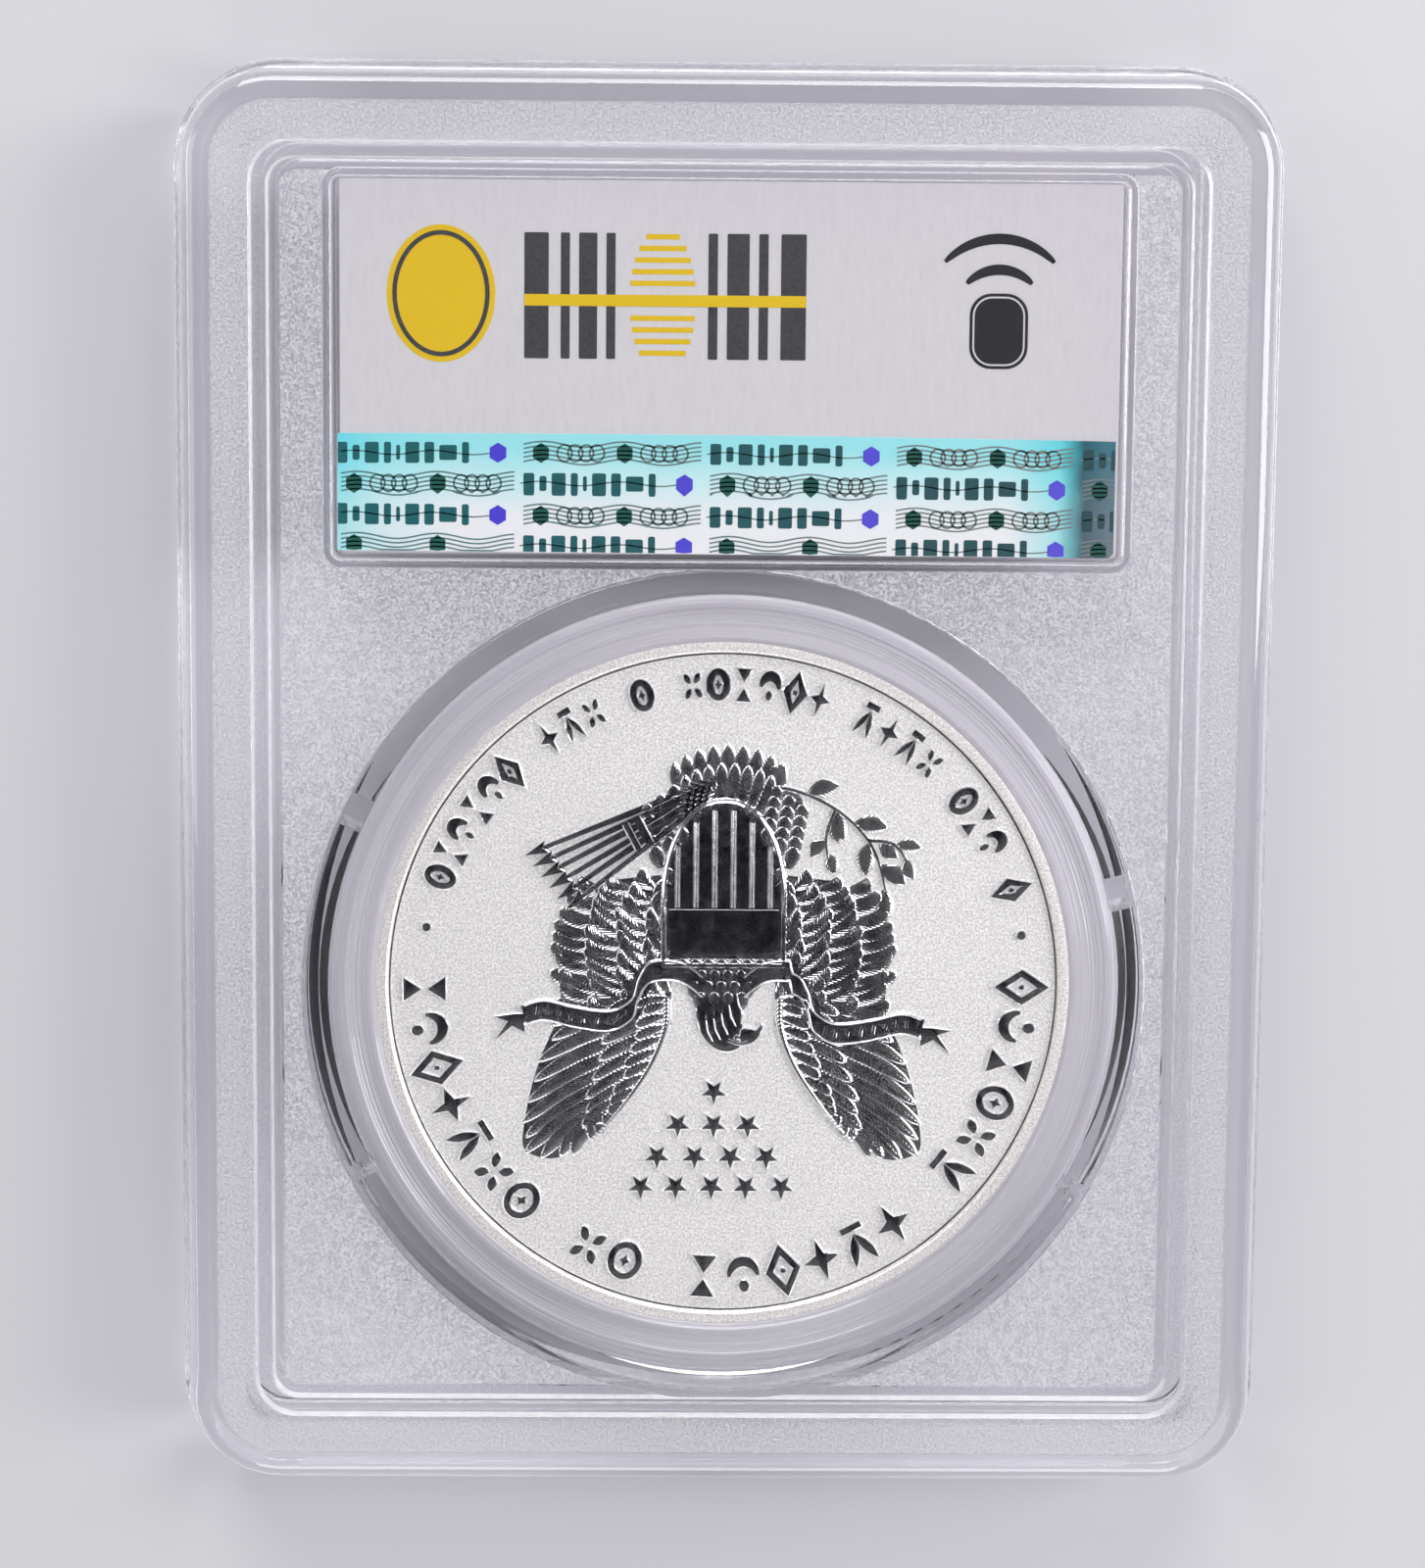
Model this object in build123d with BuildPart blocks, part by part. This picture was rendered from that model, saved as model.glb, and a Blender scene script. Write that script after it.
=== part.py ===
"""Graded coin slab: a welded clear holder with a 40.6 mm coin, its gasket ring and a printed label."""

import math
import os

from build123d import *

os.makedirs("parts", exist_ok=True)

# The slab lies on its front. +Z comes out of its back and +Y points at the label end.
# All lengths are in millimetres.

# Which way a shell faces.
BACK = 1
FRONT = -1

# --- Overall holder ---
WIDTH = 63.5
HEIGHT = 83.0
THICKNESS = 8.0
PARTING_Z = THICKNESS / 2
SEAM_LEVEL = 0.01
CORNER_RADIUS = 6.0
BACK_SHELL_INSET = 0.6

# --- Outside of one shell: insets from the slab's edge, levels from the parting plane ---
EDGE_ROUND = 1.3
RIM_INSET = 2.4
RIM_STEP = 0.1
RIM_LEVEL = PARTING_Z
SHOULDER_LEVEL = RIM_LEVEL - RIM_STEP
LEDGE_INSET = 4.6
LEDGE_LEVEL = 3.45
GUTTER_INSET = 5.55
GUTTER_LEVEL = 2.95
PANEL_INSET = 6.2
PANEL_STEP = 0.1
PANEL_LEVEL = GUTTER_LEVEL + PANEL_STEP
DRAFT = 15.0
STEP_DRAFT = 45.0
LEDGE_CORNER = 2.4
GUTTER_CORNER = 1.6
PANEL_CORNER = 1.0
EDGE_SOFTENING = 0.12
GATE_MARK_CENTRE = (24.3, 32.4)
GATE_MARK_RADIUS = 0.55
GATE_MARK_HEIGHT = 0.06

# --- Inside of one shell ---
WALL = 1.2
CEILING_LEVEL = PANEL_LEVEL - WALL
CAVITY_INSET = 3.8
CAVITY_CORNER = 2.2
TRENCH_INSET = LEDGE_INSET + 0.8
TRENCH_CORNER = 1.6
TRENCH_LEVEL = RIM_LEVEL - WALL
TONGUE_INSET = 2.65
TONGUE_WIDTH = 0.6
TONGUE_DEPTH = 0.7
TONGUE_CLEARANCE = 0.05

# --- Coin, its gasket ring and its round window ---
COIN_CENTRE = (0.0, -11.6)
COIN_RADIUS = 20.3
COIN_THICKNESS = 2.98
COIN_RIM_WIDTH = 0.8
COIN_FIELD_DEPTH = 0.35
COIN_RUNNING_GAP = 0.05
COIN_END_GAP = 0.03
COIN_EDGE_CHAMFER = 0.1
WELL_RADIUS = 22.95
WELL_WALL = 1.25
COIN_WINDOW_RADIUS = 24.45
COIN_WINDOW_LEVEL = 3.25
COIN_WINDOW_THICKNESS = 1.1
COIN_WINDOW_INNER = COIN_WINDOW_LEVEL - COIN_WINDOW_THICKNESS
WELL_SLOTS = ((14.0, 2.0), (-30.0, 1.0), (154.5, 2.0), (-152.5, 1.0))
WELL_BEVEL = 0.6
WELL_BEVEL_ARCS = ((270.0, 32.0), (180.0, 34.0), (2.0, 36.0))
RING_GAP = 0.08
RING_LIP_OVERLAP = 0.15
RING_LIP_HEIGHT = 0.2
RING_MOUTH_RADIUS = COIN_RADIUS + 0.6
RING_OUTER_CHAMFER = 0.5

# --- Label window and the label pocket behind it ---
LABEL_CENTRE = (0.0, 24.05)
LABEL_FRAME = (46.1, 22.6)
LABEL_FRAME_CORNER = 1.1
LABEL_FRAME_WIDTH = 0.5
LABEL_FRAME_LEVEL = 3.5
LABEL_WINDOW_LEVEL = 1.9
LABEL_WINDOW_INNER = 0.6
LABEL_POCKET = tuple(side - 2 * LABEL_FRAME_WIDTH for side in LABEL_FRAME)
LABEL_POCKET_CORNER = 0.5

# --- Label insert: layers are counted up from the front card's printed face ---
CARD = (44.7, 21.3)
CARD_CENTRE = (LABEL_CENTRE[0] + 0.1, LABEL_CENTRE[1] + 0.05)
CARD_THICKNESS = 0.35
CORE_THICKNESS = 0.25
STRIP_THICKNESS = 0.05
INSERT_GAP = 0.05
FRONT_CARD_Z = PARTING_Z - LABEL_WINDOW_INNER + INSERT_GAP
CORE_Z = FRONT_CARD_Z + CARD_THICKNESS
BACK_CARD_Z = CORE_Z + CORE_THICKNESS
STRIP_Z = BACK_CARD_Z + CARD_THICKNESS
STRIP = (44.7, 6.75)
STRIP_CENTRE = (CARD_CENTRE[0] - 0.15, CARD_CENTRE[1] - (CARD[1] - STRIP[1]) / 2 + 0.1)
STRIP_TILT = -0.2

# --- Radio tag laminated inside the label insert ---
TAG = 16.0
TAG_CENTRE = (13.5, LABEL_CENTRE[1])
TAG_CLEARANCE = 0.15
TAG_FILM = 0.08
ANTENNA_THICKNESS = 0.04
ANTENNA_TRACK = 0.45
ANTENNA_PITCH = 0.85
ANTENNA_MARGIN = 0.8
ANTENNA_TURNS = 5
CHIP = (1.2, 1.0)
CHIP_THICKNESS = 0.13


def slab_outline(inset, corner, mode=Mode.ADD):
    """The slab's rounded rectangle, drawn in from its edge by inset."""
    return RectangleRounded(WIDTH - 2 * inset, HEIGHT - 2 * inset, corner, mode=mode)


def tongue_outline(clearance):
    """The welding tongue's plan, grown by clearance on both sides for its groove."""
    outer = TONGUE_INSET - clearance
    inner = TONGUE_INSET + TONGUE_WIDTH + clearance
    slab_outline(outer, CORNER_RADIUS - outer)
    slab_outline(inner, CORNER_RADIUS - inner, mode=Mode.SUBTRACT)


def edges_at(shell, base, level):
    """The edges of a shell that lie flat at a level above its parting plane."""
    z = base.offset(level).origin.Z
    flat = shell.edges().filter_by(lambda edge: edge.bounding_box().size.Z < 1e-4)
    return flat.filter_by(lambda edge: abs(edge.center().Z - z) < 1e-4)


def shell_base(side):
    """The parting plane as one shell sees it: its levels run outwards, and the front shell's X is flipped."""
    return Plane(origin=(0, 0, PARTING_Z), x_dir=(side, 0, 0), z_dir=(0, 0, side))


def crescent_circle(radius, depth, half_angle):
    """The offset and radius of a circle that bites depth into a round wall's face at radius.

    The bite tapers away to nothing at half_angle either side of its middle. A negative depth is a bite
    from inside, and its circle is offset towards the middle of the bite.
    """
    deepest = radius - depth
    reach = deepest - radius * math.cos(math.radians(half_angle))
    offset = (radius**2 - deepest**2) / (2 * reach)
    return offset, deepest + offset


def build_well_wall(side):
    """The wall of the round coin well. Slots pass through it, and long bevels sharpen its free end."""
    base = shell_base(side)
    with BuildPart() as wall:
        with BuildSketch(base.offset(SEAM_LEVEL)):
            with Locations(COIN_CENTRE):
                Circle(WELL_RADIUS + WELL_WALL)
                Circle(WELL_RADIUS, mode=Mode.SUBTRACT)
                for angle, width in WELL_SLOTS:
                    turned = angle if side == BACK else 180 - angle
                    with PolarLocations(WELL_RADIUS + WELL_WALL / 2, 1, start_angle=turned):
                        Rectangle(2 * WELL_WALL, width, mode=Mode.SUBTRACT)
        extrude(amount=CEILING_LEVEL - SEAM_LEVEL)
        for angle, half_angle in WELL_BEVEL_ARCS:
            turned = math.radians(angle if side == BACK else 180 - angle)
            for radius, depth in ((WELL_RADIUS + WELL_WALL, WELL_BEVEL), (WELL_RADIUS, -WELL_BEVEL)):
                offset, bite_radius = crescent_circle(radius, depth, half_angle)
                centre = (
                    COIN_CENTRE[0] - offset * math.cos(turned),
                    COIN_CENTRE[1] - offset * math.sin(turned),
                )
                with BuildSketch(base.offset(SEAM_LEVEL)):
                    with Locations(centre):
                        if depth > 0:
                            Circle(2 * bite_radius)
                        Circle(bite_radius, mode=Mode.SUBTRACT if depth > 0 else Mode.ADD)
                extrude(amount=WELL_BEVEL, taper=45.0, mode=Mode.SUBTRACT)
    return wall


def build_shell(side, inset):
    """One welded half of the holder."""
    base = shell_base(side)
    well_wall = build_well_wall(side)

    with BuildPart() as shell:
        # A solid block with a rounded outer edge.
        with BuildSketch(base.offset(SEAM_LEVEL)):
            slab_outline(inset, CORNER_RADIUS - inset)
        extrude(amount=SHOULDER_LEVEL - SEAM_LEVEL)
        fillet(edges_at(shell, base, SHOULDER_LEVEL), EDGE_ROUND)
        fillet(edges_at(shell, base, SEAM_LEVEL), EDGE_SOFTENING)

        # The stacking rim stands just proud of the rounded edge.
        with BuildSketch(base.offset(SHOULDER_LEVEL)):
            slab_outline(RIM_INSET, CORNER_RADIUS - RIM_INSET)
        extrude(amount=RIM_STEP, taper=STEP_DRAFT)

        # Two steps lead down from the rim to the gutter round the panel.
        with BuildSketch(base.offset(RIM_LEVEL)):
            slab_outline(LEDGE_INSET, LEDGE_CORNER)
        extrude(amount=LEDGE_LEVEL - RIM_LEVEL, taper=DRAFT, mode=Mode.SUBTRACT)
        with BuildSketch(base.offset(LEDGE_LEVEL)):
            slab_outline(GUTTER_INSET, GUTTER_CORNER)
        extrude(amount=GUTTER_LEVEL - LEDGE_LEVEL, taper=DRAFT, mode=Mode.SUBTRACT)

        # The panel is raised a little from the gutter, and carries the mark of the mould's gate.
        with BuildSketch(base.offset(GUTTER_LEVEL)):
            slab_outline(PANEL_INSET, PANEL_CORNER)
        extrude(amount=PANEL_STEP, taper=STEP_DRAFT)
        with BuildSketch(base.offset(PANEL_LEVEL)):
            with Locations(GATE_MARK_CENTRE):
                Circle(GATE_MARK_RADIUS)
        extrude(amount=GATE_MARK_HEIGHT)

        # The round coin window stands higher than the panel.
        with BuildSketch(base.offset(GUTTER_LEVEL)):
            with Locations(COIN_CENTRE):
                Circle(COIN_WINDOW_RADIUS)
        extrude(amount=COIN_WINDOW_LEVEL - GUTTER_LEVEL)
        window_edge = edges_at(shell, base, COIN_WINDOW_LEVEL).filter_by(GeomType.CIRCLE)
        fillet(window_edge, EDGE_SOFTENING)

        # A raised frame surrounds the sunk label window.
        with BuildSketch(base.offset(GUTTER_LEVEL)):
            with Locations(LABEL_CENTRE):
                RectangleRounded(*LABEL_FRAME, LABEL_FRAME_CORNER)
        extrude(amount=LABEL_FRAME_LEVEL - GUTTER_LEVEL)
        with BuildSketch(base.offset(LABEL_FRAME_LEVEL)):
            with Locations(LABEL_CENTRE):
                RectangleRounded(*LABEL_POCKET, LABEL_POCKET_CORNER)
        extrude(amount=LABEL_WINDOW_LEVEL - LABEL_FRAME_LEVEL, mode=Mode.SUBTRACT)
        fillet(edges_at(shell, base, LABEL_FRAME_LEVEL), EDGE_SOFTENING)

        # The inside is hollow, and a trench keeps the wall behind the rim thin.
        with BuildSketch(base):
            slab_outline(CAVITY_INSET, CAVITY_CORNER)
        extrude(amount=CEILING_LEVEL, mode=Mode.SUBTRACT)
        with BuildSketch(base.offset(CEILING_LEVEL)):
            slab_outline(CAVITY_INSET, CAVITY_CORNER)
            slab_outline(TRENCH_INSET, TRENCH_CORNER, mode=Mode.SUBTRACT)
        extrude(amount=TRENCH_LEVEL - CEILING_LEVEL, mode=Mode.SUBTRACT)

        # The label pocket has its own walls, closed by the window plate.
        with BuildSketch(base.offset(SEAM_LEVEL)):
            with Locations(LABEL_CENTRE):
                RectangleRounded(*LABEL_FRAME, LABEL_FRAME_CORNER)
        extrude(amount=LABEL_WINDOW_LEVEL - SEAM_LEVEL)
        with BuildSketch(base):
            with Locations(LABEL_CENTRE):
                RectangleRounded(*LABEL_POCKET, LABEL_POCKET_CORNER)
        extrude(amount=LABEL_WINDOW_INNER, mode=Mode.SUBTRACT)

        # A round well holds the gasket ring.
        with BuildSketch(base):
            with Locations(COIN_CENTRE):
                Circle(WELL_RADIUS)
        extrude(amount=COIN_WINDOW_INNER, mode=Mode.SUBTRACT)
        add(well_wall.part)

        # The back shell's tongue is welded into the front shell's groove.
        if side == BACK:
            with BuildSketch(base.offset(SEAM_LEVEL)):
                tongue_outline(0)
            extrude(amount=-TONGUE_DEPTH)
        else:
            with BuildSketch(base):
                tongue_outline(TONGUE_CLEARANCE)
            extrude(amount=TONGUE_DEPTH + TONGUE_CLEARANCE, mode=Mode.SUBTRACT)

    return shell


# --- Back shell ---
back_shell = build_shell(BACK, BACK_SHELL_INSET)
back_shell.part.label = "back_shell"
export_step(back_shell.part, "parts/back_shell.step")

# --- Front shell ---
front_shell = build_shell(FRONT, 0)
front_shell.part.label = "front_shell"
export_step(front_shell.part, "parts/front_shell.step")

# --- Gasket ring: a groove with two shallow lips holds the coin's edge ---
ring_half_height = COIN_WINDOW_INNER - RING_GAP
groove_half_height = COIN_THICKNESS / 2 + COIN_END_GAP
lip_top = groove_half_height + RING_LIP_HEIGHT
ring_outer = WELL_RADIUS - RING_GAP
ring_section = Plane(origin=(*COIN_CENTRE, PARTING_Z), x_dir=(1, 0, 0), z_dir=(0, -1, 0))
upper_half = [
    (COIN_RADIUS + COIN_RUNNING_GAP, 0),
    (COIN_RADIUS + COIN_RUNNING_GAP, groove_half_height),
    (COIN_RADIUS - RING_LIP_OVERLAP, groove_half_height),
    (COIN_RADIUS - RING_LIP_OVERLAP, lip_top),
    (RING_MOUTH_RADIUS, ring_half_height),
    (ring_outer - RING_OUTER_CHAMFER, ring_half_height),
    (ring_outer, ring_half_height - RING_OUTER_CHAMFER),
    (ring_outer, 0),
]
with BuildPart() as coin_ring:
    with BuildSketch(ring_section):
        with BuildLine():
            Polyline(*upper_half, close=True)
        make_face()
        mirror(about=Plane.XZ)
    revolve(axis=Axis((*COIN_CENTRE, PARTING_Z), (0, 0, 1)))
coin_ring.part.label = "coin_ring"
export_step(coin_ring.part, "parts/coin_ring.step")

# --- Coin: a disc with a raised rim round each sunk field ---
with BuildPart() as coin:
    with BuildSketch(Plane.XY.offset(PARTING_Z)):
        with Locations(COIN_CENTRE):
            Circle(COIN_RADIUS)
    extrude(amount=COIN_THICKNESS / 2, both=True)
    chamfer(coin.edges().filter_by(GeomType.CIRCLE), COIN_EDGE_CHAMFER)
    for way in (BACK, FRONT):
        with BuildSketch(Plane.XY.offset(PARTING_Z + way * COIN_THICKNESS / 2)):
            with Locations(COIN_CENTRE):
                Circle(COIN_RADIUS - COIN_RIM_WIDTH)
        extrude(amount=-way * COIN_FIELD_DEPTH, mode=Mode.SUBTRACT)
coin.part.label = "coin"
export_step(coin.part, "parts/coin.step")


def label_card(z):
    """One stiff paper card of the label insert, lying on z."""
    with BuildPart() as card:
        with BuildSketch(Plane.XY.offset(z)):
            with Locations(CARD_CENTRE):
                Rectangle(*CARD)
        extrude(amount=CARD_THICKNESS)
    return card


# --- Label insert: two printed cards ---
front_label = label_card(FRONT_CARD_Z)
front_label.part.label = "front_label"
export_step(front_label.part, "parts/front_label.step")

back_label = label_card(BACK_CARD_Z)
back_label.part.label = "back_label"
export_step(back_label.part, "parts/back_label.step")

# --- Adhesive sheet between the cards, cut out round the radio tag ---
with BuildPart() as label_adhesive:
    with BuildSketch(Plane.XY.offset(CORE_Z)):
        with Locations(CARD_CENTRE):
            Rectangle(*CARD)
        with Locations(TAG_CENTRE):
            Rectangle(TAG + 2 * TAG_CLEARANCE, TAG + 2 * TAG_CLEARANCE, mode=Mode.SUBTRACT)
    extrude(amount=CORE_THICKNESS)
label_adhesive.part.label = "label_adhesive"
export_step(label_adhesive.part, "parts/label_adhesive.step")

# --- Security strip stuck over the foot of the back card ---
with BuildPart() as security_strip:
    with BuildSketch(Plane.XY.offset(STRIP_Z)):
        with Locations(Location((*STRIP_CENTRE, 0), (0, 0, STRIP_TILT))):
            Rectangle(*STRIP)
    extrude(amount=STRIP_THICKNESS)
security_strip.part.label = "security_strip"
export_step(security_strip.part, "parts/security_strip.step")

# --- Radio tag: film, spiral antenna and chip ---
with BuildPart() as tag_film:
    with BuildSketch(Plane.XY.offset(CORE_Z)):
        with Locations(TAG_CENTRE):
            Rectangle(TAG, TAG)
    extrude(amount=TAG_FILM)
tag_film.part.label = "tag_film"
export_step(tag_film.part, "parts/tag_film.step")

outer_reach = TAG / 2 - ANTENNA_MARGIN
spiral = [(-outer_reach, -outer_reach)]
for turn in range(ANTENNA_TURNS):
    reach = outer_reach - turn * ANTENNA_PITCH
    spiral += [(reach, -reach), (reach, reach), (-reach, reach), (-reach, ANTENNA_PITCH - reach)]
chip_y = ANTENNA_PITCH - reach
spiral.append((-CHIP[0] / 2, chip_y))
tag_top = Plane((*TAG_CENTRE, CORE_Z + TAG_FILM))
with BuildPart() as tag_antenna:
    with BuildSketch(tag_top):
        with BuildLine():
            Polyline(*spiral)
        trace(line_width=ANTENNA_TRACK)
        with Locations((0, chip_y)):
            Rectangle(*CHIP, mode=Mode.SUBTRACT)
    extrude(amount=ANTENNA_THICKNESS)
tag_antenna.part.label = "tag_antenna"
export_step(tag_antenna.part, "parts/tag_antenna.step")

with BuildPart() as tag_chip:
    with BuildSketch(tag_top):
        with Locations((0, chip_y)):
            Rectangle(*CHIP)
    extrude(amount=CHIP_THICKNESS)
tag_chip.part.label = "tag_chip"
export_step(tag_chip.part, "parts/tag_chip.step")
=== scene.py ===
"""The looks of the graded coin slab: clear welded shells, soft ring, struck coin and printed label.

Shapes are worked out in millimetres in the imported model's own frame and written in metres.
"""

import math
import bpy
from mathutils import Matrix, Vector


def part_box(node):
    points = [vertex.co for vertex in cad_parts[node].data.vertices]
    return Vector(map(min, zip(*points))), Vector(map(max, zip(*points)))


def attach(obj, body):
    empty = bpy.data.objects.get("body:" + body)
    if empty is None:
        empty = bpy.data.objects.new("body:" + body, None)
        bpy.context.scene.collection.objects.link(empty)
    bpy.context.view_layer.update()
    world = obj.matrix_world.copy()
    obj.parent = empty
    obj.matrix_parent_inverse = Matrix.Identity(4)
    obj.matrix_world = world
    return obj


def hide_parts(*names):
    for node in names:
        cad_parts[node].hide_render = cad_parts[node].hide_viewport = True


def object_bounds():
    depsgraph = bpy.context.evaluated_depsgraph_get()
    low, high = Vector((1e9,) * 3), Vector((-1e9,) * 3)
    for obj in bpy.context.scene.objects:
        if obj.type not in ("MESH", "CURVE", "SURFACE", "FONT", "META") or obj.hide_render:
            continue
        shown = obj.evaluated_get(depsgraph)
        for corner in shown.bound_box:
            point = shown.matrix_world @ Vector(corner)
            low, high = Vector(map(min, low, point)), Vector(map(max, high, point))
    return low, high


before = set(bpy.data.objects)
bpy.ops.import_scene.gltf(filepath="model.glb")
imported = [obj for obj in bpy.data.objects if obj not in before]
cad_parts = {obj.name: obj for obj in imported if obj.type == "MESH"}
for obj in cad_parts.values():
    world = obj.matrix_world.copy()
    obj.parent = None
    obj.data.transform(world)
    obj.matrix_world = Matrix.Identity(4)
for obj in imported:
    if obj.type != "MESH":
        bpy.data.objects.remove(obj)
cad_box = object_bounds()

MM = 0.001
SLAB_LOW, SLAB_HIGH = [Vector(corner) / MM for corner in cad_box]
SLAB_SIZE = SLAB_HIGH - SLAB_LOW
HOLDER = "holder"
COIN = "coin"


def node_box(name):
    """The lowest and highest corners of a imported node, in millimetres."""
    low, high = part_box(name)
    return Vector(low) / MM, Vector(high) / MM


# ---------------------------------------------------------------- materials


def new_material(name):
    """An empty node material and its tree, with an output node ready."""
    material = bpy.data.materials.new(name)
    material.use_nodes = True
    tree = material.node_tree
    tree.nodes.clear()
    output = tree.nodes.new("ShaderNodeOutputMaterial")
    return material, tree, output


def add_node(tree, kind, inputs=None, **settings):
    """One node, with its settings and its unlinked or linked inputs."""
    made = tree.nodes.new("ShaderNode" + kind)
    for name, value in settings.items():
        setattr(made, name, value)
    for name, value in (inputs or {}).items():
        if hasattr(value, "links") or isinstance(value, bpy.types.NodeSocket):
            tree.links.new(value, made.inputs[name])
        else:
            made.inputs[name].default_value = value
    return made


def object_position(tree):
    """Where a point of the surface is, in millimetres."""
    place = add_node(tree, "TexCoord").outputs["Object"]
    return add_node(tree, "VectorMath", {0: place, 1: (1 / MM,) * 3}, operation="MULTIPLY").outputs[0]


def distance_from_axis(tree, axis):
    """How far a point of the surface is from an upright axis, in millimetres."""
    middle = add_node(tree, "VectorMath", {0: object_position(tree), 1: tuple(axis)}, operation="SUBTRACT")
    flat = add_node(tree, "VectorMath", {0: middle.outputs[0], 1: (1.0, 1.0, 0.0)}, operation="MULTIPLY")
    return add_node(tree, "VectorMath", {0: flat.outputs[0]}, operation="LENGTH").outputs["Value"]


def coat(tree, output, inputs):
    """An opaque surface with these inputs."""
    surface = add_node(tree, "BsdfPrincipled", inputs)
    tree.links.new(surface.outputs[0], output.inputs["Surface"])


def bump(tree, height, strength, distance):
    """A normal tilted by a height field; distance is in metres."""
    return add_node(tree, "Bump", {"Height": height, "Strength": strength, "Distance": distance}).outputs[0]


def multiplied(tree, share, colour, other):
    """A colour times another one, by a share."""
    inputs = {"Factor": share, 6: colour, 7: other}
    return add_node(tree, "Mix", inputs, data_type="RGBA", blend_type="MULTIPLY").outputs[2]


def colour_ramp(tree, value, stops):
    """A colour that follows a value; stops are pairs of a position and a colour."""
    ramp = add_node(tree, "ValToRGB", {"Fac": value})
    elements = ramp.color_ramp.elements
    for element, (position, colour) in zip(elements, (stops[0], stops[-1])):
        element.position = position
        element.color = (*colour, 1.0)
    for position, colour in stops[1:-1]:
        elements.new(position).color = (*colour, 1.0)
    return ramp.outputs["Color"]


def noise_ramp(tree, scale, low, high, detail=3.0, spread=0.2, rough=0.65, place=None):
    """A fine random mottle: the noise itself, and a colour that runs from low to high with it."""
    inputs = {"Vector": place or object_position(tree), "Scale": scale, "Detail": detail, "Roughness": rough}
    height = add_node(tree, "TexNoise", inputs).outputs["Fac"]
    return height, colour_ramp(tree, height, [(0.5 - spread, low), (0.5 + spread, high)])


PLASTIC_IOR = 1.585
PLASTIC_TINT = (0.994, 0.989, 1.0)
THROUGH_TINT = (0.993, 0.988, 1.0)
EDGE_SHADE = (0.58, 0.58, 0.605)
WHITE = (1.0, 1.0, 1.0)


def let_lamps_through(tree, output, inputs, shade=THROUGH_TINT):
    """Plastic for sight, and a plain tint for shadow and bounced rays, so that light gets inside."""
    plastic = add_node(tree, "BsdfPrincipled", {"IOR": PLASTIC_IOR, **inputs})
    rays = add_node(tree, "LightPath")
    soft_rays = {0: rays.outputs["Is Shadow Ray"], 1: rays.outputs["Is Diffuse Ray"]}
    soft = add_node(tree, "Math", soft_rays, operation="MAXIMUM")
    tint = add_node(tree, "BsdfTransparent", {"Color": (*shade, 1.0)})
    mix = add_node(tree, "MixShader", {0: soft.outputs[0], 1: plastic.outputs[0], 2: tint.outputs[0]})
    tree.links.new(mix.outputs[0], output.inputs["Surface"])


def clear_plastic(name, roughness=0.0):
    """Polished clear polystyrene."""
    material, tree, output = new_material(name)
    let_lamps_through(
        tree, output, {"Base Color": (*PLASTIC_TINT, 1.0), "Roughness": roughness, "Transmission Weight": 1.0}
    )
    return material


def milky_plastic(name, grain, clearness, shades, roughness, tooth, shade=THROUGH_TINT):
    """Plastic that scatters part of the light: clearness is the share let through at the grain's two ends."""
    material, tree, output = new_material(name)
    noise, colour = noise_ramp(tree, grain, *shades, detail=2.0, spread=0.15)
    low, high = clearness
    share = {"Value": noise, "From Min": 0.35, "From Max": 0.65, "To Min": low, "To Max": high}
    clear = add_node(tree, "MapRange", share)
    inputs = {
        "Base Color": colour,
        "Roughness": roughness,
        "Transmission Weight": clear.outputs[0],
        "Normal": bump(tree, noise, 0.6, tooth),
    }
    let_lamps_through(tree, output, inputs, shade)
    return material


def speckled(name, low, high, roughness=0.5, metallic=0.0):
    """An opaque finish with a fine speckle between two shades."""
    material, tree, output = new_material(name)
    _, colour = noise_ramp(tree, 6.0, low, high)
    coat(tree, output, {"Base Color": colour, "Roughness": roughness, "Metallic": metallic})
    return material


# ---------------------------------------------------------------- mesh forms


class Form:
    """Gathers the points and faces of many small closed shapes into one mesh, in millimetres."""

    def __init__(self):
        self.points = []
        self.faces = []
        self.along = []

    def add(self, points, faces, along=None):
        """Adds one shape. along holds a pair for each point: how far along and across its grain it lies."""
        start = len(self.points)
        self.points.extend(points)
        self.faces.extend([start + corner for corner in face] for face in faces)
        self.along.extend(along or [(0.0, 0.0)] * len(points))

    def piece(self, name, material, body, slot, place=lambda p: p, sharp=35.0, replaces=()):
        """Makes the Blender object, rides it on its body and gives it its finish."""
        mesh = bpy.data.meshes.new(name)
        placed = [Vector(place(point)) * MM for point in self.points]
        mesh.from_pydata(placed, [], self.faces)
        grain = mesh.uv_layers.new(name="grain")
        for loop in mesh.loops:
            grain.data[loop.index].uv = self.along[loop.vertex_index]
        mesh.materials.append(material)
        mesh.shade_smooth()
        mesh.set_sharp_from_angle(angle=math.radians(sharp))
        made = bpy.data.objects.new(name, mesh)
        bpy.context.scene.collection.objects.link(made)
        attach(made, body)
        if replaces:
            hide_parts(*replaces)
        return made


ROOT_DEPTH = -0.05


def band_faces(loops, count, wrap=False):
    """Quads that join each loop of points to the next, and with wrap the last loop to the first."""
    faces = []
    for level in range(loops if wrap else loops - 1):
        here, ahead = level * count, (level + 1) % loops * count
        for i in range(count):
            j = (i + 1) % count
            faces.append((here + i, here + j, ahead + j, ahead + i))
    return faces


def lids(loops, count):
    """The faces that close the first and the last loop of a stack."""
    return [tuple(range((loops - 1) * count, loops * count)), tuple(reversed(range(count)))]


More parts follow.
